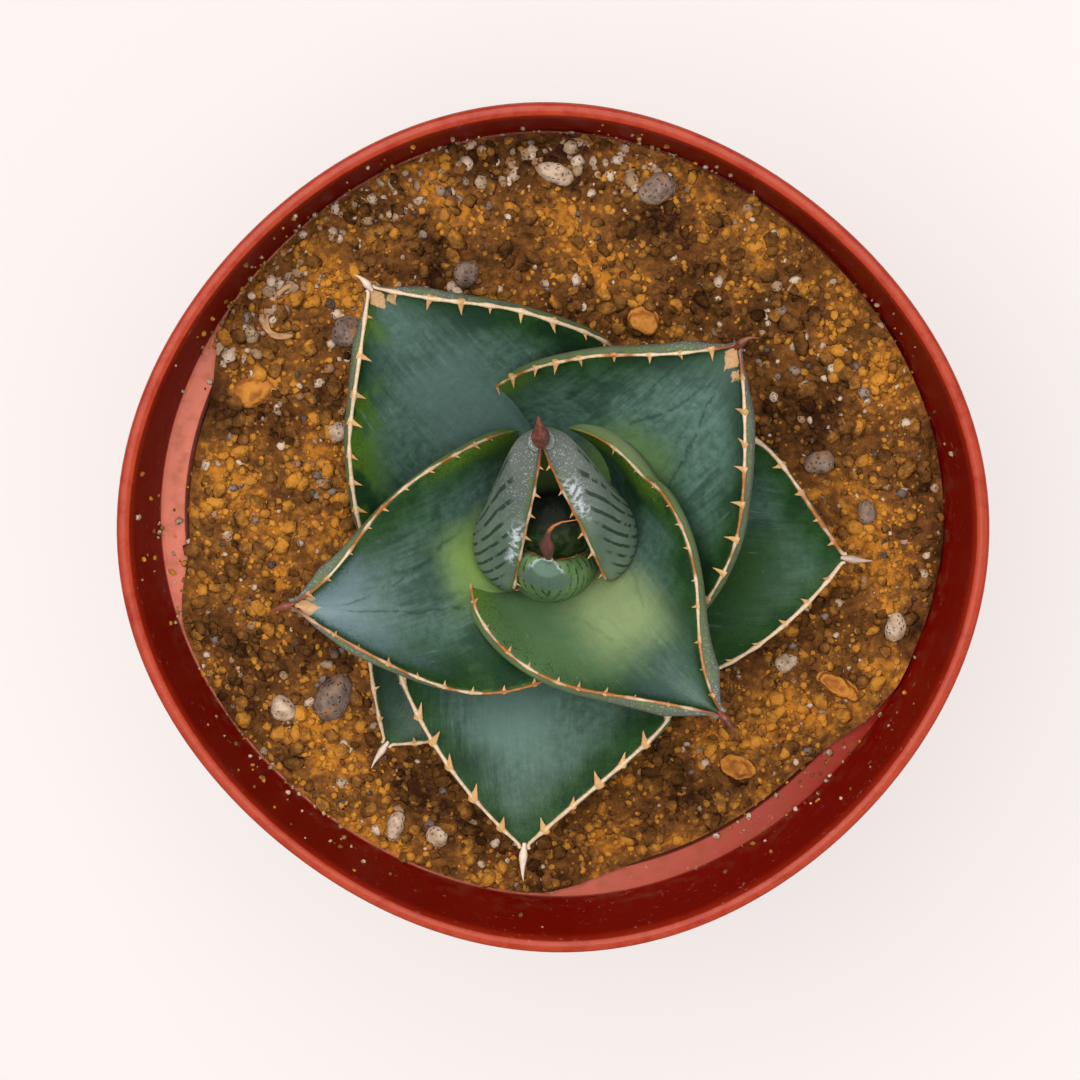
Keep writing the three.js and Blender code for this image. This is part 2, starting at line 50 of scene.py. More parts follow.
# %% [markdown]
# ## Camera, light and floor
# The plant is seen from almost straight above, with the camera tipped eight degrees. A long
# lens keeps the pot's wall nearly out of sight. A big soft light over the pot and a pale
# room round it leave only weak shadows, as a light tent does.

# %% Camera
MM = 0.001
LOOK_AT = Vector((-1.6, -0.55, 92)) * MM
TIP = math.radians(8)
DISTANCE = 420 * MM

bpy.ops.object.camera_add(
    location=LOOK_AT + DISTANCE * Vector((0, math.sin(TIP), math.cos(TIP))),
    rotation=(-TIP, 0, 0))
camera = bpy.context.object
camera.data.lens = 114.27
camera.data.sensor_width = 36
bpy.context.scene.camera = camera
print("camera at", [round(v, 4) for v in camera.location])

# %% Light and room
def soft_light(name, size, power, place, color):
    bpy.ops.object.light_add(type="AREA", location=place)
    light = bpy.context.object
    light.name = name
    light.data.size = size
    light.data.energy = power
    light.data.color = color
    light.rotation_euler = (LOOK_AT - Vector(place)).to_track_quat("-Z", "Y").to_euler()
    return light


soft_light("overhead", 0.8, 12.2, (-0.12, 0.2, 1.0), (1, 0.97, 0.94))
soft_light("side_fill", 0.5, 1.2, (0.6, -0.5, 0.6), (0.93, 0.96, 1))

room = bpy.data.worlds.new("room")
bpy.context.scene.world = room
room.use_nodes = True
room.node_tree.nodes["Background"].inputs["Color"].default_value = (1, 0.95, 0.93, 1)
room.node_tree.nodes["Background"].inputs["Strength"].default_value = 0.45
bpy.context.scene.view_settings.view_transform = "Standard"

# %% [markdown]
# ## Writing materials as sums
# A material is a tree of nodes, and drawing it link by link makes long code. This small
# class wraps one output socket, so that `1 - mask * 0.5` adds the Math nodes that it says.
# Its one method `node` adds any other kind of node.

# %% A socket to do sums with
class Paint:
    """An output socket of a material's tree, or the bare tree to start from."""

    def __init__(self, tree, socket=None):
        self.tree = tree
        self.socket = socket

    def node(self, kind, settings=None, values=None, output=0):
        made = self.tree.nodes.new("ShaderNode" + kind)
        for key, setting in (settings or {}).items():
            if key == "stops":
                ramp = made.color_ramp
                while len(ramp.elements) < len(setting):
                    ramp.elements.new(1)
                for element, (at, color) in zip(ramp.elements, setting):
                    element.position = at
                    element.color = (*color, 1)
            else:
                setattr(made, key, setting)
        for key, value in (values or {}).items():
            if isinstance(value, Paint):
                self.tree.links.new(value.socket, made.inputs[key])
            elif value is not None:
                made.inputs[key].default_value = value
        return Paint(self.tree, made.outputs[output])

    def math(self, operation, *others):
        return self.node("Math", {"operation": operation}, dict(enumerate((self, *others))))

    def __add__(self, other): return self.math("ADD", other)
    def __radd__(self, other): return self.math("ADD", other)
    def __mul__(self, other): return self.math("MULTIPLY", other)
    def __rmul__(self, other): return self.math("MULTIPLY", other)
    def __sub__(self, other): return self.math("SUBTRACT", other)
    def __truediv__(self, other): return self.math("DIVIDE", other)
    def __abs__(self): return self.math("ABSOLUTE")

    def __rsub__(self, other):
        return self.node("Math", {"operation": "SUBTRACT"}, {0: other, 1: self})

    def ramp(self, low, high):
        """0 below low, 1 above high, and a smooth rise between them. It falls if low > high."""
        first, last, ends = (low, high, (0, 1)) if low < high else (high, low, (1, 0))
        return self.node("MapRange", {"interpolation_type": "SMOOTHSTEP"}, {
            "Value": self, "From Min": first, "From Max": last,
            "To Min": ends[0], "To Max": ends[1]})

    def mix(self, below, above):
        """The colour below where this mask is 0, and above where it is 1."""
        below, above = [c if isinstance(c, Paint) else (*c, 1) for c in (below, above)]
        return self.node("Mix", {"data_type": "RGBA"}, {0: self, 6: below, 7: above}, output=2)

    def attribute(self, name):
        return self.node("Attribute", {"attribute_name": name}, output=2)

    def place(self):
        """How far along x, y and z a point lies, in millimetres."""
        where = self.node("TexCoord", output=3)
        return [self.node("SeparateXYZ", values={0: where}, output=k) / MM for k in range(3)]

    def grain(self, size, detail=3, place=None, roughness=0.5):
        """Noise whose lumps are about size millimetres across."""
        where = place or self.node("TexCoord", output=3)
        return self.node("TexNoise", {}, {
            "Vector": where, "Scale": 1 / (size * MM), "Detail": detail, "Roughness": roughness})


def new_finish(name, roughness=0.5, specular=0.5):
    """A material, its Paint to start from, and its shader."""
    material = bpy.data.materials.new(name)
    material.use_nodes = True
    shader = material.node_tree.nodes["Principled BSDF"]
    shader.inputs["Roughness"].default_value = roughness
    shader.inputs["Coat Roughness"].default_value = 0.25
    shader.inputs["Specular IOR Level"].default_value = specular
    return material, Paint(material.node_tree), shader


def feed(shader, name, paint):
    paint.tree.links.new(paint.socket, shader.inputs[name])


def raise_surface(shader, height, distance):
    """A bump of that depth in millimetres where height goes from 0 to 1."""
    bump = height.node("Bump", {}, {"Strength": 1, "Distance": distance * MM, "Height": height})
    feed(shader, "Normal", bump)


print("paint box ready")

# %% [markdown]
# The floor is one pale matt sheet, as in a light tent. It glows a little by itself, so that it
# stays nearly white while the light on the plant stays soft. It isn't part of the object.

# %% Floor
bpy.ops.mesh.primitive_plane_add(size=4)
floor = bpy.context.object
floor.name = "floor"
floor_white, _, floor_shader = new_finish("floor_white", roughness=0.9, specular=0.1)
floor_shader.inputs["Base Color"].default_value = (0.3, 0.282, 0.278, 1)
floor_shader.inputs["Emission Color"].default_value = (1, 0.95, 0.93, 1)
floor_shader.inputs["Emission Strength"].default_value = 0.57
floor.data.materials.append(floor_white)
print("floor", floor.dimensions[0], "m wide")

# %% [markdown]
# ## Sizes and shapes that the pieces share
# All sizes are in millimetres. The same few rules as in the CAD model give the squeezed
# round of the pot, the rolling surface of the mix and the curve of each leaf, so that every
# piece lands exactly where its solid stands.

# %% Pot and mix sizes
POT_HEIGHT = 92
RIM_RADIUS = 52.5
FOOT_RADIUS = 38.5
WALL = 1.4
RIM_LIP = 1.7
RIM_DEPTH = 2.6
COLLAR_DEPTH = 15
COLLAR_DRAFT = 2
LEDGE_WIDTH = 3
FLOOR_RISE = 4
DRAIN_RADIUS = 4
DRAIN_COUNT = 8
NOTCH_WIDTH = 7
NOTCH_DEPTH = 1.6
SOIL_DROP = 13
PLANT_OFFSET = 2.5
GAP = 0.3

SOIL_LEVEL = POT_HEIGHT - SOIL_DROP
LEDGE_LEVEL = POT_HEIGHT - COLLAR_DEPTH
COLLAR_TOP = RIM_RADIUS - RIM_LIP
LEDGE_OUTER = COLLAR_TOP - COLLAR_DRAFT
LEDGE_INNER = LEDGE_OUTER - LEDGE_WIDTH
FLOOR_INNER = FOOT_RADIUS - WALL
FLOOR_TOP = FLOOR_RISE + WALL


# %% [markdown]
# A thin pot is never quite round. It stays round at the foot and is squeezed a little towards
# the rim. The mix rolls gently, and on two sides watering has washed it off the pot's ledge.

# %% Squeezed round and rolling surface
def smooth(t):
    t = min(max(t, 0), 1)
    return t * t * (3 - 2 * t)


def squeeze(angle, height):
    oval = 0.0105 * math.cos(2 * (angle + math.radians(17)))
    square = 0.012 * math.cos(4 * (angle - math.radians(3.5)))
    return 1 + (oval + square) * height / POT_HEIGHT


def soil_height(x, y):
    rolls = (0.5 * math.sin(0.31 * x + 1.3) * math.cos(0.27 * y)
             + 0.35 * math.sin(0.53 * x - 0.41 * y + 0.6)
             + 0.25 * math.cos(0.7 * x + 0.6 * y))
    return SOIL_LEVEL + rolls + 0.014 * (x + y)


def ledge_bare(angle):
    """1 where watering has washed the mix off the pot's ledge, 0 where it covers it."""
    def patch(centre, spread):
        away = math.radians(angle_between(math.degrees(angle), centre))
        return smooth(1.6 - 1.6 * away / math.radians(spread))
    return max(patch(172, 26), patch(300, 36))


def angle_between(a, b):
    return abs((a - b + 180) % 360 - 180)


def soil_edge(angle):
    covered, bare = LEDGE_OUTER - GAP, LEDGE_INNER - 2 * GAP
    return covered + (bare - covered) * ledge_bare(angle)


print("edge of the mix", round(soil_edge(0), 1), "to", round(soil_edge(math.radians(172)), 1))

# %% [markdown]
# An agave leaf grows along a curve that starts steep at the stem and bends outwards. Its
# section is an arc: tightly rolled in the young leaves and open in the old ones. One table
# holds what differs from leaf to leaf, and one class walks up any leaf.

# %% Leaf table
LEAF_THICKNESS = 4.5
SPINE_HALF = 0.6
# azimuth, drift: the compass angle and how far the leaf turns from it towards its tip
# rise: its slope at foot and tip; length and half: its length and half its greatest width
# foot, widest, taper: width at the foot, where it is widest, and how it narrows after that
# wrap: half the angle of its arc at foot, middle and tip; skew: how lopsided it is
# seat: how far out and up its foot sits; thick: its thickness as a share of the usual
# oval, full, clasp: a flatter arc, a fuller back, a foot that reaches round the stem
LEAVES = {
    "bud": dict(azimuth=268, drift=-12, length=21, rise=(96, 122), half=8, foot=0.9, widest=0.3,
                taper=1.5, wrap=(95, 95, 90), skew=0, seat=(9.6, 12), thick=0.4),
    "heart": dict(azimuth=96, drift=1, length=31.5, rise=(71, 80), half=20.5, foot=0.88,
                  widest=0.3, taper=1.35, wrap=(137, 141, 150), skew=0, seat=(4.2, 8), thick=0.5,
                  oval=0.8, full=1.1),
    "southeast": dict(azimuth=305, drift=8, length=35, rise=(82, 11), half=16, foot=0.86,
                      widest=0.3, taper=1.4, wrap=(88, 36, 95), skew=-0.05, seat=(6.5, 7.5),
                      thick=1, clasp=0.5),
    "west": dict(azimuth=212, drift=-16, length=39.5, rise=(77, -3), half=15.5, foot=0.88,
                 widest=0.25, taper=2.4, wrap=(61, 17, 95), skew=0.12, seat=(3.5, 4), thick=1),
    "northeast": dict(azimuth=33, drift=12, length=35, rise=(63, 15), half=20, foot=0.95,
                      widest=0.28, taper=2.1, wrap=(38, 44, 69), skew=-0.09, seat=(4.5, 3),
                      thick=1),
    "south": dict(azimuth=255, drift=10, length=36.5, rise=(44, -1), half=18, foot=0.6,
                  widest=0.5, taper=1.15, wrap=(60, 36, 36), skew=0.15, seat=(8, 3), thick=1),
    "northwest": dict(azimuth=130, drift=-2, length=32.5, rise=(46, 9), half=20, foot=0.6,
                      widest=0.26, taper=1.7, wrap=(20, 36, 68), skew=0.04, seat=(7.5, 2.5),
                      thick=1),
    "east": dict(azimuth=340, drift=11, length=30, rise=(33, -5), half=16.5, foot=0.6,
                 widest=0.48, taper=1.45, wrap=(55, 28, 44), skew=0.04, seat=(8, 2.5), thick=0.9),
    "southwest": dict(azimuth=236, drift=-1, length=29, rise=(19, -4), half=11, foot=0.6,
                      widest=0.58, taper=1.35, wrap=(50, 26, 44), skew=0, seat=(8, 2.5),
                      thick=0.75),
}
print(len(LEAVES), "leaves")


# %% Walking up a leaf
CLASP_END = 0.26    # the shares of the length up to which a foot clasps the stem,
MIDDLE_AT = 0.6     # where the arc has its middle value,
TIP_THINS = 0.12    # and over which the flesh thins out before the tip


class Station:
    """The leaf's midrib and cross-section at the share u of its length."""

    def __init__(self, leaf, u):
        self.clasp = leaf.get("clasp", 0) * smooth((CLASP_END - u) / CLASP_END)
        start, end = [math.radians(a) for a in leaf["rise"]]
        rise = start + (end - start) * u
        bend = leaf["length"] / (end - start)
        azimuth = math.radians(leaf["azimuth"] + leaf["drift"] * u * u)
        outward = Vector((math.cos(azimuth), math.sin(azimuth), 0))
        out = leaf["seat"][0] + bend * (math.sin(rise) - math.sin(start))
        up = SOIL_LEVEL + leaf["seat"][1] + bend * (math.cos(start) - math.cos(rise))
        self.middle = outward * out + Vector((0, PLANT_OFFSET, up))
        self.along = outward * math.cos(rise) + Vector((0, 0, math.sin(rise)))
        self.normal = -outward * math.sin(rise) + Vector((0, 0, math.cos(rise)))
        self.side = Vector((-math.sin(azimuth), math.cos(azimuth), 0))

        if u < leaf["widest"]:
            share = leaf["foot"] + (1 - leaf["foot"]) * math.sin(math.pi / 2 * u / leaf["widest"])
        else:
            share = 1 - ((u - leaf["widest"]) / (1 - leaf["widest"])) ** leaf["taper"]
        self.half = max(leaf["half"] * share, SPINE_HALF)
        foot, middle, tip = [math.radians(a) for a in leaf["wrap"]]
        wrap = (foot + (middle - foot) * smooth(u / MIDDLE_AT)
                + (tip - middle) * smooth((u - MIDDLE_AT) / (1 - MIDDLE_AT)))
        self.radius = self.half / wrap
        self.oval = leaf.get("oval", 1)
        self.middle += self.normal * self.radius * (1 - self.oval) * (1 - math.cos(wrap))
        self.skew = leaf["skew"]
        self.thick = (LEAF_THICKNESS * leaf["thick"] * (1 - 0.25 * u)
                      * min(max((1 - u) / TIP_THINS, 0.25), 1))

    def across(self, s, depth=0.0):
        """The point at s from -1 to 1 across the leaf, that deep under its inner face."""
        turn = self.turn(s)
        point = (self.middle + self.normal * self.radius * self.oval * (1 - math.cos(turn))
                 + self.side * self.radius * math.sin(turn))
        return point - self.facing(s) * depth

    def turn(self, s):
        turn = self.half * (1 + self.skew * s) * s / self.radius * (1 + self.clasp)
        return min(max(turn, -3), 3)

    def facing(self, s):
        turn = self.turn(s)
        return self.normal * math.cos(turn) - self.side * math.sin(turn)


for name, leaf in LEAVES.items():
    tip = Station(leaf, 1).middle


# %% [markdown]
# ## Helpers
# A finished piece sits at the origin with its place in its mesh, shades smoothly and has its
# finish. These few functions do for every piece what is done to all of them by hand: read and
# move points, mark them with an attribute, apply a modifier, pull rings up into a round body.

# %% Adding, choosing and finishing a piece
def add(name, data):
    piece = bpy.data.objects.new(name, data)
    bpy.context.scene.collection.objects.link(piece)
    return piece


def choose(*pieces):
    """Selects just these pieces and makes the first of them active."""
    bpy.ops.object.select_all(action="DESELECT")
    for piece in pieces:
        piece.select_set(True)
    if pieces:
        bpy.context.view_layer.objects.active = pieces[0]


def settle(piece, slot, *materials, nodes=(), angle=40):
    """Places a finished piece: at the origin, smooth, with its finish, riding on the body."""
    choose(piece)
    bpy.ops.object.transform_apply(location=True, rotation=True, scale=True)
    bpy.ops.object.shade_smooth_by_angle(angle=math.radians(angle))
    piece.data.materials.clear()
    for material in materials:
        piece.data.materials.append(material)
    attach(piece, "root")
    if nodes:
        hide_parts(*nodes)
    choose()
    triangles = sum(len(face.vertices) - 2 for face in piece.data.polygons)
    print(piece.name, triangles, "triangles")
    return piece


# %% Points, attributes and modifiers
def positions(mesh):
    flat = np.empty(3 * len(mesh.vertices))
    mesh.vertices.foreach_get("co", flat)
    return flat.reshape(-1, 3)


def set_positions(mesh, points):
    mesh.vertices.foreach_set("co", np.asarray(points, dtype=float).ravel())
    mesh.update()


def set_attribute(mesh, name, values):
    layer = mesh.attributes.get(name) or mesh.attributes.new(name, "FLOAT", "POINT")
    layer.data.foreach_set("value", np.broadcast_to(
        np.asarray(values, dtype=float), (len(mesh.vertices),)).ravel())


def apply_modifier(piece, kind, **settings):
    modifier = piece.modifiers.new(kind.lower(), kind)
    for key, value in settings.items():
        setattr(modifier, key, value)
    bpy.context.view_layer.objects.active = piece
    bpy.ops.object.modifier_apply(modifier=modifier.name)


# %% Rings into a body, and pieces into one
def rings(name, profile, around):
    """A closed round body, extruded ring by ring up a profile of (radius, height)."""
    radius, height = profile[0]
    bpy.ops.mesh.primitive_circle_add(vertices=around, radius=radius * MM, fill_type="NGON",
                                      location=(0, 0, height * MM))
    piece = bpy.context.object
    piece.name = name
    bpy.ops.object.transform_apply(location=True)
    bpy.ops.object.mode_set(mode="EDIT")
    bpy.ops.mesh.select_all(action="SELECT")
    for next_radius, next_height in profile[1:]:
        bpy.ops.mesh.extrude_region_move(
            TRANSFORM_OT_translate={"value": (0, 0, (next_height - height) * MM)})
        grow = next_radius / radius
        bpy.ops.transform.resize(value=(grow, grow, 1), center_override=(0, 0, 0))
        radius, height = next_radius, next_height
    bpy.ops.mesh.select_all(action="SELECT")
    bpy.ops.mesh.normals_make_consistent(inside=False)
    bpy.ops.object.mode_set(mode="OBJECT")
    return piece


def join(name, pieces):
    choose(*pieces)
    bpy.ops.object.join()
    pieces[0].name = name
    return pieces[0]


print("helpers ready")

# %% [markdown]
# ## The pot
# A thin nursery pot is moulded in one piece: a foot ring under a raised floor, a tapered
# body, a wider collar and a rolled rim. A lathe would spin its outline. Here the rings are
# extruded one after another, which gives the same clean loops, and the round is squeezed
# afterwards.

# %% Pot shell
COLLAR_FOOT = LEDGE_LEVEL - WALL
RIM_FOOT = POT_HEIGHT - RIM_DEPTH
POT_AROUND = 192
INNER_EDGE = (COLLAR_TOP + 0.16, POT_HEIGHT - 0.2)
POT_OUTLINE = [
    (1, FLOOR_RISE), (FLOOR_INNER - 0.6, FLOOR_RISE), (FLOOR_INNER, FLOOR_RISE - 0.6),
    (FLOOR_INNER, 0.3), (FLOOR_INNER + 0.3, 0), (FOOT_RADIUS - 0.4, 0), (FOOT_RADIUS, 0.4),
    (FOOT_RADIUS + 0.1, 2.5), (FOOT_RADIUS + 2.9, 26), (FOOT_RADIUS + 5.6, 49),
    (LEDGE_INNER + WALL, COLLAR_FOOT - 2 * WALL), (LEDGE_INNER + WALL + 0.5, COLLAR_FOOT - 1.6),
    (LEDGE_OUTER + WALL - 0.6, COLLAR_FOOT - 0.5), (LEDGE_OUTER + WALL, COLLAR_FOOT),
    (LEDGE_OUTER + WALL + 0.1, COLLAR_FOOT + 0.6), (COLLAR_TOP + WALL / 2 - 0.3, RIM_FOOT - 0.8),
    (COLLAR_TOP + WALL / 2, RIM_FOOT), (RIM_RADIUS - 0.5, RIM_FOOT),
    (RIM_RADIUS - 0.12, RIM_FOOT + 0.2), (RIM_RADIUS, RIM_FOOT + 0.6),
    (RIM_RADIUS, POT_HEIGHT - 0.75), (RIM_RADIUS - 0.13, POT_HEIGHT - 0.32),
    (RIM_RADIUS - 0.42, POT_HEIGHT - 0.07), (RIM_RADIUS - 0.8, POT_HEIGHT),
    (COLLAR_TOP + 0.5, POT_HEIGHT - 0.02), INNER_EDGE,
    (COLLAR_TOP - 0.02, POT_HEIGHT - 0.6), (COLLAR_TOP - 0.4, POT_HEIGHT - 3),
    (LEDGE_OUTER + 0.15, LEDGE_LEVEL + 1), (LEDGE_OUTER - 0.05, LEDGE_LEVEL + 0.25),
    (LEDGE_OUTER - 0.4, LEDGE_LEVEL + 0.02), (LEDGE_INNER + 0.5, LEDGE_LEVEL),
    (LEDGE_INNER + 0.12, LEDGE_LEVEL - 0.15), (LEDGE_INNER, LEDGE_LEVEL - 0.6),
    (FLOOR_INNER, FLOOR_TOP), (1, FLOOR_TOP),
]
pot = rings("pot_shell", POT_OUTLINE, POT_AROUND)
print("pot shell", len(pot.data.polygons), "faces")

# %% [markdown]
# The inside looks darker than the outside, because the light bounces from red to red, so
# the inside is painted darker as painted shade. Each point of the shell is marked as inside
# if its corner of the outline comes after the rim's inner edge. Then the round is squeezed.

# %% Inner faces marked, round squeezed
points = positions(pot.data) / MM
radii = np.hypot(points[:, 0], points[:, 1])
corners = np.array(POT_OUTLINE)
away = np.hypot(radii[:, None] - corners[:, 0], points[:, 2][:, None] - corners[:, 1])
set_attribute(pot.data, "inside", away.argmin(axis=1) >= POT_OUTLINE.index(INNER_EDGE))


def squeeze_piece(piece):
    points = positions(piece.data) / MM
    factors = [squeeze(math.atan2(y, x), z) for x, y, z in points]
    points[:, :2] *= np.array(factors)[:, None]
    set_positions(piece.data, points * MM)


squeeze_piece(pot)
print("pot shell", [round(v * 1000, 1) for v in pot.dimensions], "mm")

# %% [markdown]
# Round holes in the raised floor let water out, and four notches in the foot ring let it run
# away from under the pot. A mould forms them with pins. Here plain bodies are cut away.

# %% Drain holes and foot notches
cutters = []
for i in range(DRAIN_COUNT):
    angle = (i + 0.5) * 2 * math.pi / DRAIN_COUNT
    reach = (FLOOR_INNER - 2 * DRAIN_RADIUS) * MM
    bpy.ops.mesh.primitive_cylinder_add(
        vertices=40, radius=DRAIN_RADIUS * MM, depth=3 * WALL * MM,
        location=(reach * math.cos(angle), reach * math.sin(angle), (FLOOR_RISE + WALL / 2) * MM))
    cutters.append(bpy.context.object)
for turn in (45, 135):
    bpy.ops.mesh.primitive_cube_add(size=1, rotation=(0, 0, math.radians(turn)))
    notch = bpy.context.object
    notch.scale = (3 * FOOT_RADIUS * MM, NOTCH_WIDTH * MM, 2 * NOTCH_DEPTH * MM)
    bpy.ops.object.transform_apply(location=False, rotation=True, scale=True)
    cutters.append(notch)
cutter = join("cutter", cutters)
apply_modifier(pot, "BOOLEAN", object=cutter, operation="DIFFERENCE", solver="EXACT")
bpy.data.objects.remove(cutter)
print("pot with holes", len(pot.data.polygons), "faces")

# %% [markdown]
# The plastic is terracotta red with faint streaks from the mould. Its rim top is painted
# lighter in patches, as painted light through the thin plastic, and its outside is bruised.
# Inside, the wall is painted deep red below the rim as painted shade, and where the mix is
# washed off, the ledge is painted pale, as dust and as painted light, paler on the left.
# Splashes have left a film and dried drops above the mix.

# %% Pot plastic
plastic, paint, shader = new_finish("pot_plastic", specular=0.06)
flat_x, flat_y, height = paint.place()
inside = paint.attribute("inside")
streaks = paint.grain(9, detail=5)
drawn = paint.grain(1.6, detail=3, place=paint.node("CombineXYZ", values={
    0: flat_x * MM, 1: flat_y * MM, 2: height * (0.06 * MM)}))
red = (streaks * 0.6 + drawn * 0.4).ramp(0.35, 0.65)
red = red.mix((0.26, 0.013, 0.004), (0.31, 0.019, 0.006))
# Painted light: the rim top is painted lighter in patches, for light shining through the thin
# plastic.
rim_light_noise = paint.grain(1.6, detail=5)
rim_top_painted_light = height.ramp(POT_HEIGHT - 0.5, POT_HEIGHT - 0.05) * rim_light_noise.ramp(0.2, 0.6)
red = (rim_top_painted_light * 0.4).mix(red, (0.46, 0.085, 0.035))
dents = paint.grain(0.7, detail=6, roughness=0.7).ramp(0.66, 0.76) * streaks.ramp(0.45, 0.6)
red = ((1 - inside) * dents * 0.4).mix(red, (0.42, 0.12, 0.07))
# Painted shade: below the rim the inner wall is painted dark deep red, for shade and the
# red-on-red bounce.
inner_wall_painted_shade = inside * height.ramp(POT_HEIGHT - 0.4, POT_HEIGHT - 2.5)
red = (inner_wall_painted_shade * 0.92).mix(red, (0.19, 0.0025, 0.001))
splash = paint.grain(0.9, detail=6, roughness=0.7).ramp(0.6, 0.72) * paint.grain(6).ramp(0.46, 0.6)
film = height.ramp(LEDGE_LEVEL + 9, LEDGE_LEVEL) * paint.grain(2.2, detail=6).ramp(0.45, 0.72)
film = inside * film
ledge = inside * height.ramp(LEDGE_LEVEL + 0.8, LEDGE_LEVEL + 0.15)
# Pale dust and painted light on the bare ledge, which faces the light, paler on the left side.
ledge_dust_and_painted_light = ledge * (flat_x * -0.011 + 0.5) * (0.75 + 0.6 * streaks)
red = ledge_dust_and_painted_light.mix(red, (0.66, 0.2, 0.135))
red = (film * 0.4).mix(red, (0.22, 0.08, 0.035))
red = (inside * splash * 0.6).mix(red, (0.6, 0.42, 0.34))
feed(shader, "Base Color", red)
feed(shader, "Roughness", 0.38 + streaks * 0.12 + film * 0.35)
polish = height.ramp(POT_HEIGHT - 3, POT_HEIGHT - 0.5)
feed(shader, "Coat Weight", polish * 0.12 + (1 - inside) * 0.1)
raise_surface(shader, paint.grain(0.35, detail=2) * 0.3 + paint.grain(5, detail=2), 0.06)
settle(pot, "pot_plastic", plastic, nodes=["pot"], angle=30)

# %% [markdown]
# ## The potting mix
# Peat, fine bark, sand and pumice make a surface of crumbs of every size. One bumpy sheet
# carries the big forms, and thousands of loose crumbs lie on it. Each crumb is a lump of
# twenty faces, because there are so many of them.

# %% Bed of mix
BED_AROUND = 240
BED_RINGS = 70
EDGE_RUN = 2.2      # the bed falls off this far from its edge,
EDGE_FALL = 0.9     # by this much
low = FLOOR_TOP + GAP
bed_profile = [(1, low), (FLOOR_INNER - GAP, low), (LEDGE_INNER - GAP, LEDGE_LEVEL - 1),
               (LEDGE_INNER - GAP, LEDGE_LEVEL + GAP), (LEDGE_INNER + 0.1, LEDGE_LEVEL + GAP)]
bed_profile += [(LEDGE_OUTER * (1 - i / BED_RINGS) + 0.02, SOIL_LEVEL) for i in range(BED_RINGS)]
bed = rings("mix_bed", bed_profile, BED_AROUND)


def crumbly(x, y):
    """Height of the bed at a place: the rolling surface and the lumps on it."""
    lumps = 0.0
    for size, depth in ((9, 0.5), (3.5, 0.55), (1.5, 0.45), (0.7, 0.22)):
        lumps += depth * noise.noise(Vector((x / size, y / size, size * 3.7)))
    return soil_height(x, y) + lumps - 0.25


points = positions(bed.data) / MM
for i, (x, y, z) in enumerate(points):
    angle = math.atan2(y, x)
    if z > LEDGE_LEVEL + 0.1:
        reach = math.hypot(x, y) / LEDGE_OUTER
        edge = soil_edge(angle)
        out = reach * edge if z > SOIL_LEVEL - 0.5 else edge
        x, y = out * math.cos(angle), out * math.sin(angle)
        foot = LEDGE_LEVEL + GAP * (1 + ledge_bare(angle))
        if z > SOIL_LEVEL - 0.5:
            away = smooth((edge - out) / EDGE_RUN)
            z = max(foot + 0.25, crumbly(x, y) - EDGE_FALL * (1 - away))
        else:
            z = foot
    points[i] = x, y, z
set_positions(bed.data, points * MM)
squeeze_piece(bed)
print("bed", len(bed.data.polygons), "faces")


# %% [markdown]
# Damp peat is nearly black and dry bark is golden, and the mix changes from one to the other
# in drifts and from crumb to crumb. One ramp holds the colours, and each crumb adds its own
# shade to the drift that it lies in.

# %% Mix colours
def earth(name, dark, mid, gold):
    """Damp to dry mix: dark peat, brown crumbs and golden bark, in drifts."""
    material, paint, shader = new_finish(name, roughness=0.95, specular=0.1)
    drift = paint.grain(11, detail=3)
    crumb = paint.grain(1.3, detail=6, roughness=0.65)
    shade = paint.attribute("shade")
    tone = (drift - 0.5) * 1.8 + (crumb - 0.5) * 1.3 + shade + 0.04
    color = tone.node("ValToRGB", {"stops": [
        (0.0, dark), (0.3, [0.5 * (a + b) for a, b in zip(dark, mid)]), (0.5, mid), (0.72, gold),
        (1.0, [min(1, 1.25 * c) for c in gold])]}, {0: tone})
    feed(shader, "Base Color", color)
    raise_surface(shader, paint.grain(0.5, detail=4), 0.35)
    return material


mix_bed = earth("mix_bed", (0.03, 0.01, 0.003), (0.18, 0.07, 0.016), (0.42, 0.16, 0.018))
mix_crumbs = earth("mix_crumbs", (0.035, 0.012, 0.003), (0.2, 0.085, 0.02), (0.45, 0.19, 0.026))
set_attribute(bed.data, "shade", 0.36)
settle(bed, "potting_mix", mix_bed, nodes=["potting_mix"], angle=60)

# %% [markdown]
# Loose crumbs lie thickly over the bed. One small lump is bent anew for every crumb, then
# stretched, turned and stamped into one mesh, because thousands of objects would be slow.

# %% One crumb and the stamp
CLUSTER = 42        # a patch of crumbs reaches this many degrees to each side
CRUMB_SITS = 0.35   # a crumb's middle lies this share of its half height above the bed
dice = random.Random(11)
bpy.ops.mesh.primitive_ico_sphere_add(subdivisions=1, radius=1)
crumb = bpy.context.object
CRUMB_POINTS = positions(crumb.data)
CRUMB_FACES = np.array([list(face.vertices) for face in crumb.data.polygons])
bpy.data.objects.remove(crumb)


def stamp(name, places):
    """One mesh of many crumbs. A place is (x, y, z, sizes, turn, shade)."""
    points, faces, shades = [], [], []
    for x, y, z, sizes, turn, shade in places:
        lump = CRUMB_POINTS * np.array([[1 + dice.uniform(-0.28, 0.28)] for _ in CRUMB_POINTS])
        lump = (lump * sizes) @ np.array(turn).T + (x, y, z)
        faces.append(CRUMB_FACES + len(points) * len(CRUMB_POINTS))
        points.append(lump)
        shades.append(np.full(len(lump), shade))
    mesh = bpy.data.meshes.new(name)
    mesh.from_pydata((np.vstack(points) * MM).tolist(), [], np.vstack(faces).tolist())
    piece = add(name, mesh)
    set_attribute(mesh, "shade", np.concatenate(shades))
    return piece


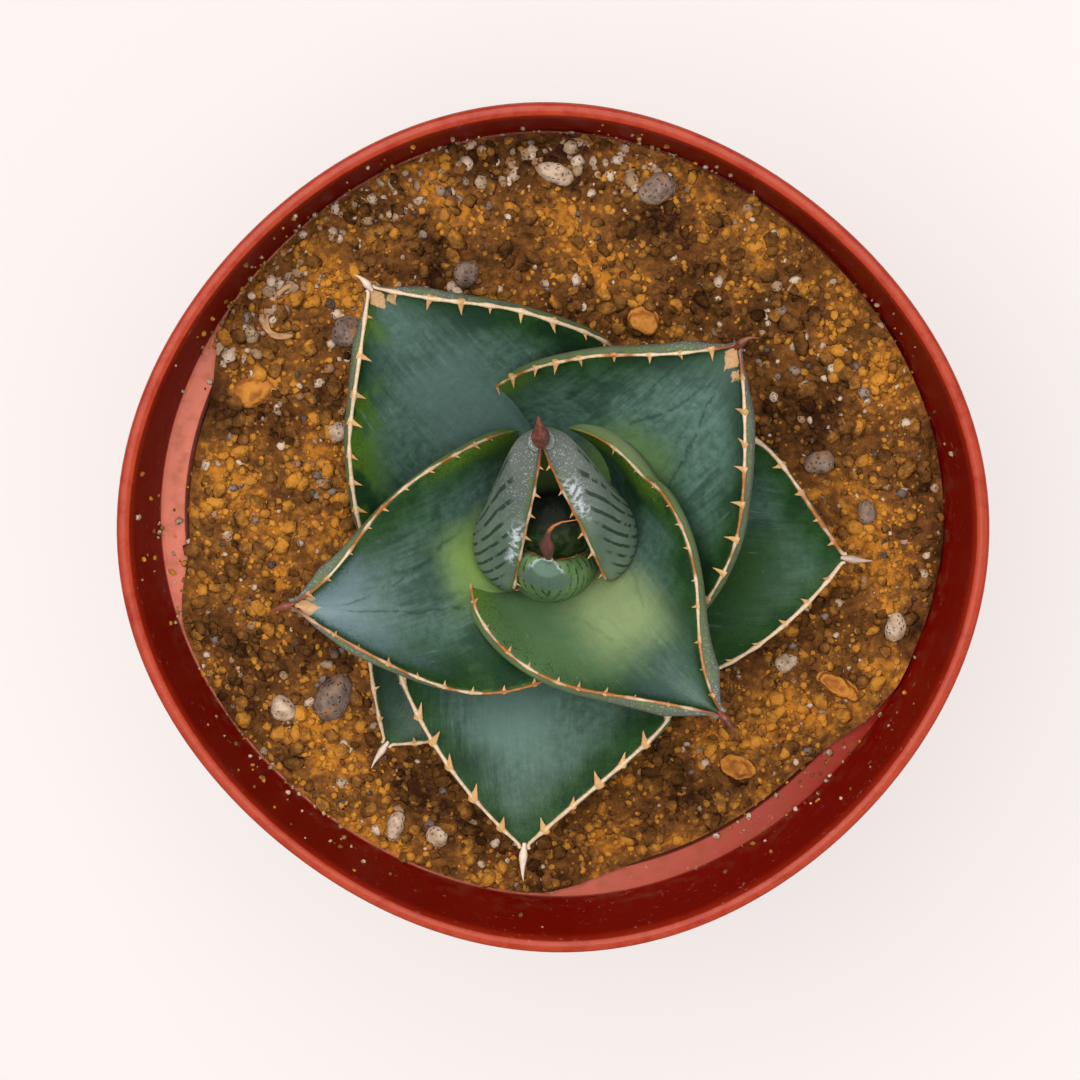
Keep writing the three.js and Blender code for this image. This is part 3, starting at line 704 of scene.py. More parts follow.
def any_turn():
    """How a crumb lies: any way round, pitched and rolled by up to 34 degrees."""
    spin, pitch, roll = [Matrix.Rotation(dice.uniform(-most, most), 3, axis)
                         for axis, most in (("Z", math.pi), ("X", 0.6), ("Y", 0.6))]
    return spin @ pitch @ roll


print("one crumb", len(CRUMB_FACES), "faces")


# %% Crumbs over the bed
def on_the_bed(inner=0.0):
    """A random place on the mix, outside inner as a share of its radius."""
    angle = dice.uniform(-math.pi, math.pi)
    share = math.sqrt(dice.uniform(inner * inner, 1))
    edge = soil_edge(angle) - 0.35
    x, y = edge * share * math.cos(angle), edge * share * math.sin(angle)
    away = smooth((edge - edge * share) / EDGE_RUN)
    z = max(crumbly(x, y) - EDGE_FALL * (1 - away), LEDGE_LEVEL + 0.6)
    k = squeeze(angle, z)
    return x * k, y * k, z


def crumbs(name, count, size_low, size_high, shades, flat=0.7, long=1.3, inner=0.3,
           around=None):
    """Crumbs of one kind, everywhere outside inner or only towards the angle around."""
    places = []
    while len(places) < count:
        x, y, z = on_the_bed(inner)
        if around is not None and angle_between(math.degrees(math.atan2(y, x)), around) > CLUSTER:
            continue
        size = size_low * (size_high / size_low) ** (dice.random() ** 1.6)
        sizes = (size * dice.uniform(1, long), size, size * dice.uniform(0.5, 1) * flat)
        z += sizes[2] * CRUMB_SITS
        places.append((x, y, z, sizes, any_turn(), dice.uniform(*shades)))
    return stamp(name, places)


small = crumbs("mix_small_crumbs", 6500, 0.22, 0.6, (0.15, 0.85))
settle(small, "potting_mix", mix_crumbs, angle=180)
large = crumbs("mix_large_crumbs", 1700, 0.5, 1.2, (0.15, 0.72), flat=0.75, long=1.6)
settle(large, "potting_mix", mix_crumbs, angle=180)

# %% [markdown]
# Pumice keeps the mix airy: a pale porous stone, sieved to sand here and left in lumps
# elsewhere. Watering has swept some of it to the far edge. The grey grit is harder stone.

# %% Pumice sand and grit
def rock(name, pale, dark, roughness=0.9, pores=0.6):
    """Porous stone: a mottled colour with pits, dusted with mix in patches."""
    material, paint, shader = new_finish(name, roughness=roughness, specular=0.3)
    mottle = paint.grain(1.4, detail=5, roughness=0.6)
    pits = paint.node("TexVoronoi", {}, {
        "Vector": paint.node("TexCoord", output=3), "Scale": 1 / (pores * MM)})
    color = (mottle + (paint.attribute("shade") - 0.5) * 0.7).ramp(0.3, 0.75).mix(dark, pale)
    color = paint.grain(2.6, detail=3).ramp(0.52, 0.68).mix(color, (0.3, 0.15, 0.06))
    feed(shader, "Base Color", color)
    raise_surface(shader, pits.ramp(0.05, 0.4) + mottle * 0.6, 0.3)
    return material


pumice = rock("pumice", (0.56, 0.43, 0.32), (0.3, 0.19, 0.11))
gravel = rock("gravel", (0.25, 0.18, 0.14), (0.08, 0.05, 0.035), roughness=0.7)
sand = crumbs("pumice_sand", 420, 0.25, 0.85, (0.3, 1), flat=0.8)
settle(sand, "pumice", pumice, angle=180)
edge_sand = crumbs("edge_sand", 170, 0.35, 1.1, (0.1, 0.8), flat=0.8, inner=0.88, around=112)
settle(edge_sand, "pumice", pumice, angle=180)
grit = crumbs("dark_grit", 260, 0.3, 0.9, (0.1, 0.8), flat=0.8)
settle(grit, "gravel", gravel, angle=180)

# %% [markdown]
# Watering splashes crumbs onto the bare ledge and up the wall, where they dry on. They stick
# in clusters, so a noise round the pot decides where they may lie.

# %% Crumbs on the ledge and splashed up the wall
SPLASHES = 420
STUCK_LOW, STUCK_HIGH = 0.16, 0.6
STUCK_ON_WALL = 0.34

places = []
while len(places) < SPLASHES:
    angle = dice.uniform(-math.pi, math.pi)
    crowd = noise.noise(Vector((2.2 * math.cos(angle), 2.2 * math.sin(angle), 5)))
    if crowd < dice.uniform(-0.25, 0.45):
        continue
    bare = ledge_bare(angle)
    size = STUCK_LOW * (STUCK_HIGH / STUCK_LOW) ** (dice.random() ** 1.8)
    if dice.random() < 0.5:
        height = LEDGE_LEVEL + 0.4 + (POT_HEIGHT - 3 - LEDGE_LEVEL) * dice.random() ** 3
        reach = LEDGE_OUTER + COLLAR_DRAFT * (height - LEDGE_LEVEL) / COLLAR_DEPTH - size * 0.45
        size = min(size, STUCK_ON_WALL)
        height = max(height, LEDGE_LEVEL + size * CRUMB_SITS)
    else:
        height = LEDGE_LEVEL + size * CRUMB_SITS
        edge = soil_edge(angle)
        reach = edge + (LEDGE_OUTER - size - edge) * dice.random() ** (0.6 + 2 * bare)
    k = squeeze(angle, height)
    sizes = (size * dice.uniform(1, 1.4), size, size * 0.7)
    places.append((reach * k * math.cos(angle), reach * k * math.sin(angle), height,
                   sizes, any_turn(), dice.uniform(0.3, 0.9)))
splashed = stamp("splashed_crumbs", places[::2])
settle(splashed, "potting_mix", mix_crumbs, angle=180)
dried = stamp("splashed_sand", places[1::2])
settle(dried, "pumice", pumice, angle=180)

# %% [markdown]
# ## Stones, chips and a dry root
# The larger loose pieces have their own solids in the frame. Each is copied, its loose
# triangles are merged, and a subdivision and a cloudy displacement wear it into a natural
# lump.

# %% Bark and root
def bark_stuff(name, dark, mid, bright):
    material, paint, shader = new_finish(name, roughness=0.85, specular=0.3)
    layers = paint.node("TexWave", {"bands_direction": "Z"}, {
        "Vector": paint.node("TexCoord", output=3), "Scale": 350, "Distortion": 9, "Detail": 3})
    color = layers.node("ValToRGB", {"stops": [(0, dark), (0.5, mid), (1, bright)]}, {
        0: layers * 0.5 + paint.grain(1.2, detail=5) * 0.5})
    feed(shader, "Base Color", color)
    raise_surface(shader, layers + paint.grain(0.4), 0.2)
    return material


bark = bark_stuff("bark", (0.12, 0.035, 0.008), (0.42, 0.15, 0.02), (0.6, 0.26, 0.04))
dry_root = bark_stuff("dry_root", (0.22, 0.11, 0.045), (0.4, 0.22, 0.1), (0.55, 0.34, 0.18))
print("bark and root ready")

# %% Worn copies of the loose solids
clouds = bpy.data.textures.new("wear", "CLOUDS")
clouds.noise_scale = 1.6 * MM
LOOSE = {"pumice": (pumice, 0.55), "gravel": (gravel, 0.55), "bark": (bark, 0.55),
         "root": (dry_root, 0.3)}
WEAR_LEVELS = 2


def worn(node, depth):
    """A copy of a node's solid, rounded and worn that many millimetres deep."""
    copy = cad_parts[node].copy()
    copy.data = copy.data.copy()
    copy.parent = None
    copy.name = node + "_worn"
    copy.hide_render = False
    bpy.context.scene.collection.objects.link(copy)
    choose(copy)
    bpy.ops.object.mode_set(mode="EDIT")
    bpy.ops.mesh.select_all(action="SELECT")
    bpy.ops.mesh.remove_doubles(threshold=0.00001)
    bpy.ops.mesh.tris_convert_to_quads()
    bpy.ops.object.mode_set(mode="OBJECT")
    apply_modifier(copy, "SUBSURF", levels=WEAR_LEVELS, render_levels=WEAR_LEVELS)
    apply_modifier(copy, "DISPLACE", texture=clouds, strength=depth * MM, mid_level=0.5,
                   texture_coords="LOCAL")
    return copy


for node in sorted(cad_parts):
    kind = node.split("_")[0]
    if kind in LOOSE:
        material, depth = LOOSE[kind]
        piece = worn(node, depth)
        set_attribute(piece.data, "shade", 0.6)
        settle(piece, kind, material, nodes=[node], angle=60)

# %% [markdown]
# ## The stem
# Only a hint of the stem shows between the leaf bases. It is pale and fleshy low down. Its
# top fills the heart behind the bud, where the youngest leaf stands in shadow, so it is
# painted as that leaf: green on its south side and nearly black to the north, as painted
# shadow.

# %% Stem
flesh, paint, shader = new_finish("stem_flesh", roughness=0.6)
_, inward, height = paint.place()
pale = paint.grain(2, detail=4).mix((0.2, 0.27, 0.09), (0.36, 0.4, 0.2))
young = paint.grain(1.2).ramp(0.4, 0.6).mix((0.03, 0.07, 0.02), (0.11, 0.19, 0.06))
# Painted shadow: the top is nearly black to the north, and green like the young leaf to the south.
young = inward.ramp(2, -0.5).mix((0.006, 0.016, 0.005), young)
feed(shader, "Base Color", height.ramp(SOIL_LEVEL + 3, SOIL_LEVEL + 8).mix(pale, young))
raise_surface(shader, paint.grain(0.8), 0.2)
stem = worn("stem", 0.3)
settle(stem, "stem", flesh, nodes=["stem"])

# %% [markdown]
# ## The leaves
# Each leaf is a thick fleshy scoop. A flat grid is rolled into a closed sleeve: its columns
# run over the inner face, round the thin margin and back under the outer face, and its rows
# climb the leaf. The columns crowd towards the margins, where the leaf curves most.

# %% Leaf sleeve
ROWS = 96
COLUMNS = 64
FULL_FROM = 0.45    # the share of the length from which a full leaf's back swells out


def leaf_sleeve(name, leaf):
    """A leaf's closed skin, with marks that tell its paint where on the leaf it is."""
    bpy.ops.mesh.primitive_grid_add(x_subdivisions=COLUMNS, y_subdivisions=ROWS, size=1)
    piece = bpy.context.object
    piece.name = "leaf_" + name + "_skin"
    grid = positions(piece.data)
    points = np.empty_like(grid)
    marks = {key: np.empty(len(grid))
             for key in ("across", "side", "margin", "tip", "rib", "face")}
    stations = {}
    for i, (x, y, _) in enumerate(grid):
        u = round(y + 0.5, 5)
        if u not in stations:
            stations[u] = Station(leaf, u)
        at = stations[u]
        turn = 2 * math.pi * x
        s, face = -math.cos(turn), math.sin(turn)
        depth = -0.15 * at.thick * face if face > 0 else 0.85 * at.thick * abs(face) ** 0.6
        depth = max(depth, -0.6 * at.radius)
        if face < 0 and "full" in leaf:
            depth += leaf["full"] * smooth((u - FULL_FROM) / 0.5) * abs(face) ** 0.5
        points[i] = at.across(s, depth)
        marks["across"][i] = s
        marks["side"][i] = at.half * s
        marks["margin"][i] = at.half * (1 - abs(s))
        marks["tip"][i] = (1 - u) * leaf["length"]
        marks["rib"][i] = at.half * abs(s)
        marks["face"][i] = face
    set_positions(piece.data, points * MM)
    for key, values in marks.items():
        set_attribute(piece.data, key, values)
    bpy.ops.object.mode_set(mode="EDIT")
    bpy.ops.mesh.select_all(action="SELECT")
    bpy.ops.mesh.remove_doubles(threshold=0.000001)
    bpy.ops.mesh.select_all(action="DESELECT")
    bpy.ops.mesh.select_non_manifold()
    bpy.ops.mesh.fill_holes(sides=0)
    bpy.ops.mesh.select_all(action="SELECT")
    bpy.ops.mesh.normals_make_consistent(inside=False)
    bpy.ops.object.mode_set(mode="OBJECT")
    return piece


sleeves = {name: leaf_sleeve(name, leaf) for name, leaf in LEAVES.items()}
print("sleeves", {name: len(piece.data.polygons) for name, piece in sleeves.items()})

# %% [markdown]
# The skin is deep green under a blue-grey waxy bloom. The bloom is thick in the middle of
# the face and thin along the margins, where dark specks show. Young tissue near the base is
# yellow-green. Leaves that lay folded in the bud keep its prints as faint dark lines. A table
# says how the leaves differ.

# %% How each leaf is coloured
# bloom_and_reflection: how blue it is near the tip, as real bloom and painted reflection
# wax: how pale its wax is; gloss: how much it shines
# glow: the colour of young tissue, with shine its strength, from start millimetres on
# flush: a second colour between that and the tip; pale: how light its back is
# print, patch, yellow, bars: how strong its bud prints, tip scars, spots and back bars are
SKIN = {
    "bud": dict(bloom_and_reflection=0.3, glow=(0.03, 0.06, 0.015), shine=0.9, start=1),
    "heart": dict(bloom_and_reflection=0.4, glow=(0.13, 0.22, 0.085), shine=0.6, start=16, bars=1.0, pale=1.6),
    "southeast": dict(bloom_and_reflection=0.25, glow=(0.22, 0.29, 0.13), shine=0.95, start=8.5, print=0.3,
                      flush=(0.075, 0.145, 0.058)),
    "west": dict(bloom_and_reflection=0.85, glow=(0.17, 0.27, 0.07), shine=0.95, start=15, print=1, patch=1),
    "northeast": dict(bloom_and_reflection=0.15, wax=1.3, glow=(0.12, 0.21, 0.065), shine=0.9, start=14.5,
                      print=1, patch=1, flush=(0.018, 0.055, 0.016)),
    "south": dict(bloom_and_reflection=0, glow=(0.075, 0.145, 0.118), shine=0.85, start=7),
    "northwest": dict(bloom_and_reflection=0.12, glow=(0.075, 0.13, 0.12), shine=0.7, start=7, patch=0.9,
                      yellow=1, gloss=0.16),
    "east": dict(bloom_and_reflection=0, glow=(0.014, 0.05, 0.006), shine=0.85, start=4, gloss=0.1,
                 flush=(0.009, 0.042, 0.003)),
    "southwest": dict(bloom_and_reflection=0.1, glow=(0.05, 0.08, 0.035), shine=0.5, start=8),
}


print("colours for", len(SKIN), "leaves")

# %% [markdown]
# Every leaf is painted by the same recipe. Marks on its skin say how far a point lies from
# the tip, the rib and the margin, and a few noises blur and break up each edge.

# %% Marks and noises of the skin
class Marks:
    """Where on the leaf a point is, in millimetres, and the noises that its colours share."""

    def __init__(self, paint):
        self.across, self.side, self.margin, self.tip, self.rib = [
            paint.attribute(key) for key in ("across", "side", "margin", "tip", "rib")]
        self.grain = paint.grain
        self.cloud = paint.grain(8, detail=4)
        self.patchy = paint.grain(4, detail=5, roughness=0.6)
        self.fine = paint.grain(1.1, detail=5, roughness=0.65)
        self.speck = paint.grain(0.3, detail=2, roughness=0.6)
        lengthways = paint.node("CombineXYZ", values={0: self.side * MM, 1: self.tip * (0.1 * MM)})
        self.streak = paint.grain(0.8, detail=5, place=lengthways, roughness=0.6)
        self.waxed = (self.margin + (self.cloud - 0.5) * 11
                      + (self.streak - 0.5) * 3).ramp(0.9, 10)


def lighter(color, times):
    return [c * times for c in color]


# %% [markdown]
# The inner face is built up much in the order in which it grew: green flesh, wax over it,
# painted shade in cloudy patches, a blue bloom near the tip that is partly painted reflection,
# pale young tissue near the foot.

# %% Inner face: green, wax and young tissue
DEEP_GREEN, FRESH_GREEN = (0.006, 0.03, 0.004), (0.022, 0.066, 0.017)
THIN_WAX, THICK_WAX = (0.032, 0.074, 0.052), (0.07, 0.128, 0.106)
SHADED_GREEN = (0.012, 0.034, 0.022)
BLUE_BLOOM_AND_REFLECTION = (0.16, 0.235, 0.265)
TENDER_GREEN = (0.085, 0.165, 0.012)
YELLOW_GREEN = (0.07, 0.15, 0.01)


def inner_face(m, look):
    green = m.patchy.ramp(0.3, 0.7).mix(DEEP_GREEN, FRESH_GREEN)
    rich = look.get("wax", 1)
    wax = (m.fine * 0.65 + m.streak * 0.35).ramp(0.34, 0.66)
    face = m.waxed.mix(green, wax.mix(lighter(THIN_WAX, rich), lighter(THICK_WAX, rich)))
    shadow = (m.cloud + (m.streak - 0.5) * 0.5).ramp(0.5, 0.36)
    face = (shadow * 0.45).mix(face, SHADED_GREEN)
    # Blue-grey near the tip: partly real bloom and partly painted reflection of the light.
    bloom_and_reflection_mask = (m.tip + (m.patchy - 0.5) * 12).ramp(14, 2.5)
    bloom_and_reflection_mask = bloom_and_reflection_mask * (m.margin + (m.speck - 0.5) * 3).ramp(0.5, 2.4)
    face = (bloom_and_reflection_mask * (0.75 + 0.3 * m.streak) * look["bloom_and_reflection"]).mix(face, BLUE_BLOOM_AND_REFLECTION)
    start = look["start"]
    if "flush" in look:
        flush = (m.tip + (m.cloud - 0.5) * 8).ramp(start - 2, start + 8)
        flush = flush * (m.side + (m.cloud - 0.5) * 8).ramp(7, -2)
        face = (flush * 0.8).mix(face, look["flush"])
    young = (m.tip + (m.cloud - 0.5) * 9).ramp(start, start + 8)
    young = young * (m.rib + (m.patchy - 0.5) * 4).ramp(8, 1.5)
    face = (young * look["shine"] * (0.85 + 0.3 * m.streak)).mix(face, look["glow"])
    tender = (m.tip + (m.patchy - 0.5) * 6).ramp(20, 27)
    tender = tender * (m.margin + (m.patchy - 0.5) * 3).ramp(3.6, 0.8)
    face = (tender * 0.75).mix(face, TENDER_GREEN)
    if "yellow" in look:
        spots = m.grain(5, detail=2).ramp(0.48, 0.6) * m.margin.ramp(8, 2) * m.side.ramp(0, 2)
        face = (spots * 0.7).mix(face, YELLOW_GREEN)
    return face


# %% [markdown]
# Then comes what happened to it: dark specks, the print of the neighbour it lay folded
# against, corky scars where its tip was pressed, scratches and dust.

# %% Inner face: specks, prints, scars and dust
DARK_SPECK, DARK_PRINT = (0.008, 0.026, 0.01), (0.008, 0.026, 0.018)
PALE_SCAR, BROWN_SCAR = (0.58, 0.36, 0.18), (0.34, 0.18, 0.08)
GREY_DUST = (0.26, 0.34, 0.31)


def marked_face(m, look, face):
    specks = (m.speck + (m.fine - 0.5) * 0.4).ramp(0.55, 0.64) * m.margin.ramp(5, 0.6)
    face = (specks * 0.6).mix(face, DARK_SPECK)
    if "print" in look:
        path = abs(m.across * 1.7 + (m.patchy - 0.5) * 0.35) - m.tip * 0.026 + 0.04
        line = abs(path).ramp(0.055, 0) + abs(path + 0.2).ramp(0.05, 0) * 0.35
        line = line * m.grain(2.4, detail=3).ramp(0.4, 0.52)
        line = line * m.tip.ramp(4, 7) * m.tip.ramp(27, 19)
        face = (line * look["print"] * 0.55).mix(face, DARK_PRINT)
    if "patch" in look:
        rough = m.fine - 0.5
        middle = (m.rib * 1.2 + abs(m.tip - 1.7) + rough * 1.8).ramp(1.7, 1.4)
        beside = (abs(m.side + 1.7) + abs(m.tip - 2.6) + rough * 2.4).ramp(0.9, 0.6)
        scar = middle.math("MAXIMUM", beside) * look["patch"]
        face = scar.mix(face, m.speck.mix(PALE_SCAR, BROWN_SCAR))
    scratch = m.streak.ramp(0.62, 0.7) * m.grain(3, detail=2).ramp(0.52, 0.62)
    scratch = scratch * m.margin.ramp(0.5, 2)
    dust = m.grain(0.8, detail=4, roughness=0.7).ramp(0.66, 0.76)
    return (scratch * 0.18 + dust * 0.22).mix(face, GREY_DUST)


# %% [markdown]
# The outer face is greyer and duller, with rows of white dots. On the heart leaf dark bars,
# printed while it lay folded, run across it.

# %% Outer face
BACK_GREEN, BACK_GREY = (0.05, 0.078, 0.055), (0.088, 0.12, 0.092)
BACK_TIP = (0.12, 0.115, 0.12)
WHITE_DOT = (0.42, 0.48, 0.48)
DARK_BAR = (0.014, 0.034, 0.02)


def outer_face(m, look):
    lift, start = look.get("pale", 1), look["start"]
    back = m.cloud.ramp(0.35, 0.65).mix(lighter(BACK_GREEN, lift), lighter(BACK_GREY, lift))
    back = ((m.tip + (m.fine - 0.5) * 8).ramp(16, 2) * 0.5).mix(back, BACK_TIP)
    young = (m.tip + (m.cloud - 0.5) * 8).ramp(start, start + 10)
    back = (young * look["shine"] * 0.35).mix(back, look["glow"])
    dots = m.grain(0.24, detail=1).ramp(0.58, 0.68) * m.tip.ramp(13, 4) * m.margin.ramp(6, 1.5)
    back = (dots * 0.5).mix(back, WHITE_DOT)
    if "bars" in look:
        wave = ((m.margin * 1.9 - m.tip) * 2.6 + (m.patchy - 0.5) * 3).math("SINE")
        bars = wave.ramp(0.35, 0.8) * m.margin.ramp(0.8, 1.8) * m.tip.ramp(2.5, 5)
        bars = bars * m.grain(2, detail=3).ramp(0.36, 0.48) * look["bars"]
        back = (bars * 0.88).mix(back, DARK_BAR)
    return back


# %% [markdown]
# The two youngest leaves have looks of their own. The bud shows a pale cap with a white crest
# behind its spine and dark dashes in rows. The heart leaf has a white crust along its outer
# margins. Its inside is painted light green towards its tip and painted shade, nearly black,
# near its foot.

# %% Bud and heart
def bud_back(m):
    back = m.patchy.ramp(0.35, 0.65).mix((0.1, 0.2, 0.07), (0.17, 0.29, 0.12))
    back = m.side.ramp(-2.5, -4.5).mix(back, (0.1, 0.16, 0.13))
    dash = ((m.margin * 1.6 - m.tip) * 4.2 + (m.patchy - 0.5) * 3).math("SINE").ramp(0.4, 0.85)
    back = (dash * m.fine.ramp(0.44, 0.54) * 0.85).mix(back, (0.014, 0.036, 0.016))
    bulge = m.rib - (m.tip - 1.2) * 0.34 + (m.fine - 0.5) * 0.9
    cap = bulge.ramp(0.85, 0.65) * m.tip.ramp(8, 6.5)
    crest = abs(bulge - 0.75).ramp(0.17, 0.04) * m.tip.ramp(4.2, 2.8) * 0.8
    return crest.mix((cap * 0.85).mix(back, (0.12, 0.19, 0.16)), (0.44, 0.52, 0.48))


def heart_crust(m, back):
    crust = (m.margin + (m.fine - 0.5) * 2).ramp(1.5, 0.6)
    crust = crust * abs(m.tip - 10 + m.across * -3).ramp(4, 2)
    return (crust * m.grain(0.7, detail=4).ramp(0.42, 0.55)).mix(back, (0.5, 0.56, 0.6))


def heart_inside_painted_light(m):
    # Painted light and shade: lit green towards the tip, nearly black near the foot.
    return (m.tip.ramp(27, 17) * 0.8).mix((0.006, 0.014, 0.006), (0.11, 0.19, 0.05))


# %% [markdown]
# Last, both faces meet at a thin green edge, and each sleeve gets its own finish.

# %% Leaf skin
def leaf_skin(name, look):
    """The finish of one leaf: inner face, outer face and the thin green edge between them."""
    material, paint, shader = new_finish("leaf_skin_" + name, specular=look.get("gloss", 0.22))
    m = Marks(paint)
    face = heart_inside_painted_light(m) if name == "heart" else marked_face(m, look, inner_face(m, look))
    back = bud_back(m) if name == "bud" else outer_face(m, look)
    if name == "heart":
        back = heart_crust(m, back)
    color = paint.attribute("face").ramp(-0.12, 0.12).mix(back, face)
    edge = m.margin.ramp(0.5, 0.2) * m.fine.ramp(0.3, 0.6) * m.tip.ramp(2, 4)
    color = (edge * 0.5).mix(color, (0.11, 0.17, 0.03))
    feed(shader, "Base Color", color)
    feed(shader, "Roughness", 0.4 + m.waxed * 0.16 + (m.speck - 0.5) * 0.2)
    raise_surface(shader, m.fine * 0.35 + m.speck * 0.15 + m.patchy * 0.8 + m.streak * 0.4, 0.18)
    return material


for name, piece in sleeves.items():
    settle(piece, "leaf", leaf_skin(name, SKIN[name]), nodes=["leaf_" + name], angle=50)

# %% [markdown]
# ## Margins, teeth and spines
# A horny cord runs along both margins of each leaf and ends in the spine. It is cream in
# places and rusty in others. Teeth sit astride it every few millimetres and lean back over
# the face. One tooth is modelled and then copied, each copy with its own size and lean. A
# table says how strongly each leaf is armed: the old ones most, the bud hardly at all.

# %% How each leaf is armed
# tooth, spacing: a tooth's height and its distance from the next; cord: the cord's radius
# lean: how far a tooth leans up from the face, inwards and back; rust: how rusty the horn is
# spine, girth: the spine's length and thickness; hook: how far its tip bends up and aside
# turn: how late it bends aside; sway: how far it leans aside before that
# swell, taper: where it is thickest and how it narrows after that
ARMS = {
    "bud": dict(tooth=0.35, spacing=4.5, lean=(0.3, -0.8, 0.2), rust=0.8, cord=0.12,
                spine=6.4, girth=1.5, hook=(2.6, 3.6), turn=7, sway=-1.5, swell=0.42, taper=0.42),
    "heart": dict(tooth=1.0, spacing=4.3, lean=(0.2, -0.9, 0.3), rust=0.6, cord=0.2,
                  spine=4.0, girth=1.9, hook=(-2.9, -0.1), swell=0.55),
    "southeast": dict(tooth=0.75, spacing=3.6, lean=(0.5, 0.7, 0.3), rust=0.58, cord=0.18,
                      spine=2.8, girth=1, hook=(0.1, -0.3)),
    "west": dict(tooth=0.8, spacing=3.7, lean=(0.5, 0.7, 0.3), rust=0.55, cord=0.18,
                 spine=2.7, girth=1, hook=(0.1, 0.2)),
    "northeast": dict(tooth=1.35, spacing=4.0, lean=(0.5, 0.6, 0.4), rust=0.5, cord=0.2,
                      spine=2.6, girth=0.9, hook=(0.3, -1.1)),
    "south": dict(tooth=1.8, spacing=4.4, lean=(0.5, 0.35, 0.7), rust=0.1, cord=0.26,
                  spine=4.0, girth=0.95, hook=(0.1, 0.3)),
    "northwest": dict(tooth=1.4, spacing=4.0, lean=(0.5, 0.5, 0.5), rust=0.2, cord=0.25,
                      spine=2.4, girth=0.85, hook=(0.1, 0.5)),
    "east": dict(tooth=1.3, spacing=3.8, lean=(0.6, 0.3, 0.5), rust=0.3, cord=0.27,
                 spine=3.4, girth=0.9, hook=(0.1, 0.2)),
    "southwest": dict(tooth=1.2, spacing=4.0, lean=(0.6, 0.3, 0.5), rust=0.1, cord=0.24,
                      spine=3.4, girth=0.8, hook=(0.1, 0.2)),
}
print("arms for", len(ARMS), "leaves")


# %% [markdown]
# The cord is a bent round wire, so it is drawn as a curve with a round section and a radius
# at each point, and then turned into a mesh. The tooth is a small cone, flattened and hooked.

# %% Cord along a line of points
def cord(name, points, radii, sides=6, **marks):
    """A round cord through points, in millimetres, made as a bevelled curve and then a mesh."""
    curve = bpy.data.curves.new(name, "CURVE")
    curve.dimensions = "3D"
    curve.bevel_depth = MM
    curve.bevel_resolution = sides // 2 - 1
    curve.use_fill_caps = True
    spline = curve.splines.new("POLY")
    spline.points.add(len(points) - 1)
    for knot, point, radius in zip(spline.points, points, radii):
        knot.co = (*(Vector(point) * MM), 1)
        knot.radius = radius
    piece = add(name, curve)
    choose(piece)
    bpy.ops.object.convert(target="MESH")
    for key, value in marks.items():
        set_attribute(piece.data, key, value)
    return piece


# %% One tooth
TOOTH_OUTLINE = [(0.5, -0.25), (0.62, 0.0), (0.4, 0.22), (0.24, 0.5), (0.11, 0.8), (0.02, 1.0)]
tooth_model = rings("tooth", TOOTH_OUTLINE, 10)
shape = positions(tooth_model.data) / MM
shape[:, 1] *= 0.55
shape[:, 0] -= 0.22 * np.clip(shape[:, 2], 0, 1) ** 2
set_attribute(tooth_model.data, "horn", np.clip(shape[:, 2], 0, 1) * 0.35 + 0.4)
set_positions(tooth_model.data, shape * MM)


def tooth_at(point, direction, run, height, width):
    """A copy of the tooth standing at point along direction, its broad side along run."""
    z = direction.normalized()
    x = (run - z * run.dot(z)).normalized()
    y = z.cross(x)
    copy = add("tooth", tooth_model.data.copy())
    turn = Matrix((x * width, y * width, z * height)).transposed().to_4x4()
    copy.data.transform(Matrix.Translation(point * MM) @ turn)
    return copy


# %% [markdown]
# A leaf is armed margin by margin. Teeth are set out from the tip towards the stem at uneven
# steps, the cord swells under each of them, and the spine closes the tip.

# %% One margin: its cord and its teeth
STEPS = 90          # points along a margin's cord
LEAST_WALK = 0.12   # no tooth stands in this first share of a margin, by the stem


def far_from(piece, point):
    """How far each point of a piece is from a point, in millimetres."""
    return np.linalg.norm(positions(piece.data) / MM - np.array(point), axis=1)


def margin_cord(line, walked, teeth, thickness):
    """The horny cord, thicker under each tooth, green by the stem, brown by the tip."""
    radii = []
    for point, d in zip(line, walked):
        near = max([math.exp(-((d - t) / 0.9) ** 2) for t in teeth] or [0])
        fade = 0.35 + 0.65 * smooth(d / 6)
        radii.append(thickness * fade * (0.85 + 0.45 * near + 0.3 * noise.noise(point * 0.7)))
    strand = cord("cord", line, radii, horn=0.0)
    set_attribute(strand.data, "young", np.clip(1.1 - far_from(strand, line[0]) / 7, 0, 1))
    set_attribute(strand.data, "legs", np.clip(1.3 - far_from(strand, line[-1]) / 4, 0, 1))
    return strand


def margin_arms(leaf, look, s, pick):
    stations = [Station(leaf, 0.02 + 0.98 * i / STEPS) for i in range(STEPS + 1)]
    line = [at.across(s) for at in stations]
    walked = [0.0]
    for a, b in zip(line, line[1:]):
        walked.append(walked[-1] + (b - a).length)
    teeth = []
    spot = walked[-1] - look["spacing"] * pick.uniform(0.7, 1.0)
    while spot > walked[-1] * LEAST_WALK:
        teeth.append(spot)
        spot -= look["spacing"] * pick.uniform(0.8, 1.2)
    parts = [margin_cord(line, walked, teeth, look["cord"])]
    for t in teeth:
        i = min(range(len(walked)), key=lambda k: abs(walked[k] - t))
        i = min(max(i, 1), STEPS - 1)
        at = stations[i]
        run = (line[i + 1] - line[i - 1]).normalized()
        inward = (at.across(s * 0.97) - at.across(s)).normalized()
        up, over, back = look["lean"]
        direction = (at.facing(s) * up + inward * over - run * back
                     + Vector([pick.uniform(-0.15, 0.15) for _ in range(3)]))
        height = look["tooth"] * pick.uniform(0.7, 1.25)
        parts.append(tooth_at(line[i], direction, run, height, height * 0.35 + 0.35))
    return parts


# %% Spine
SPINE_POINTS = 12
SPINE_ROOT = 0.2    # this share of its length is sunk in the leaf's tip


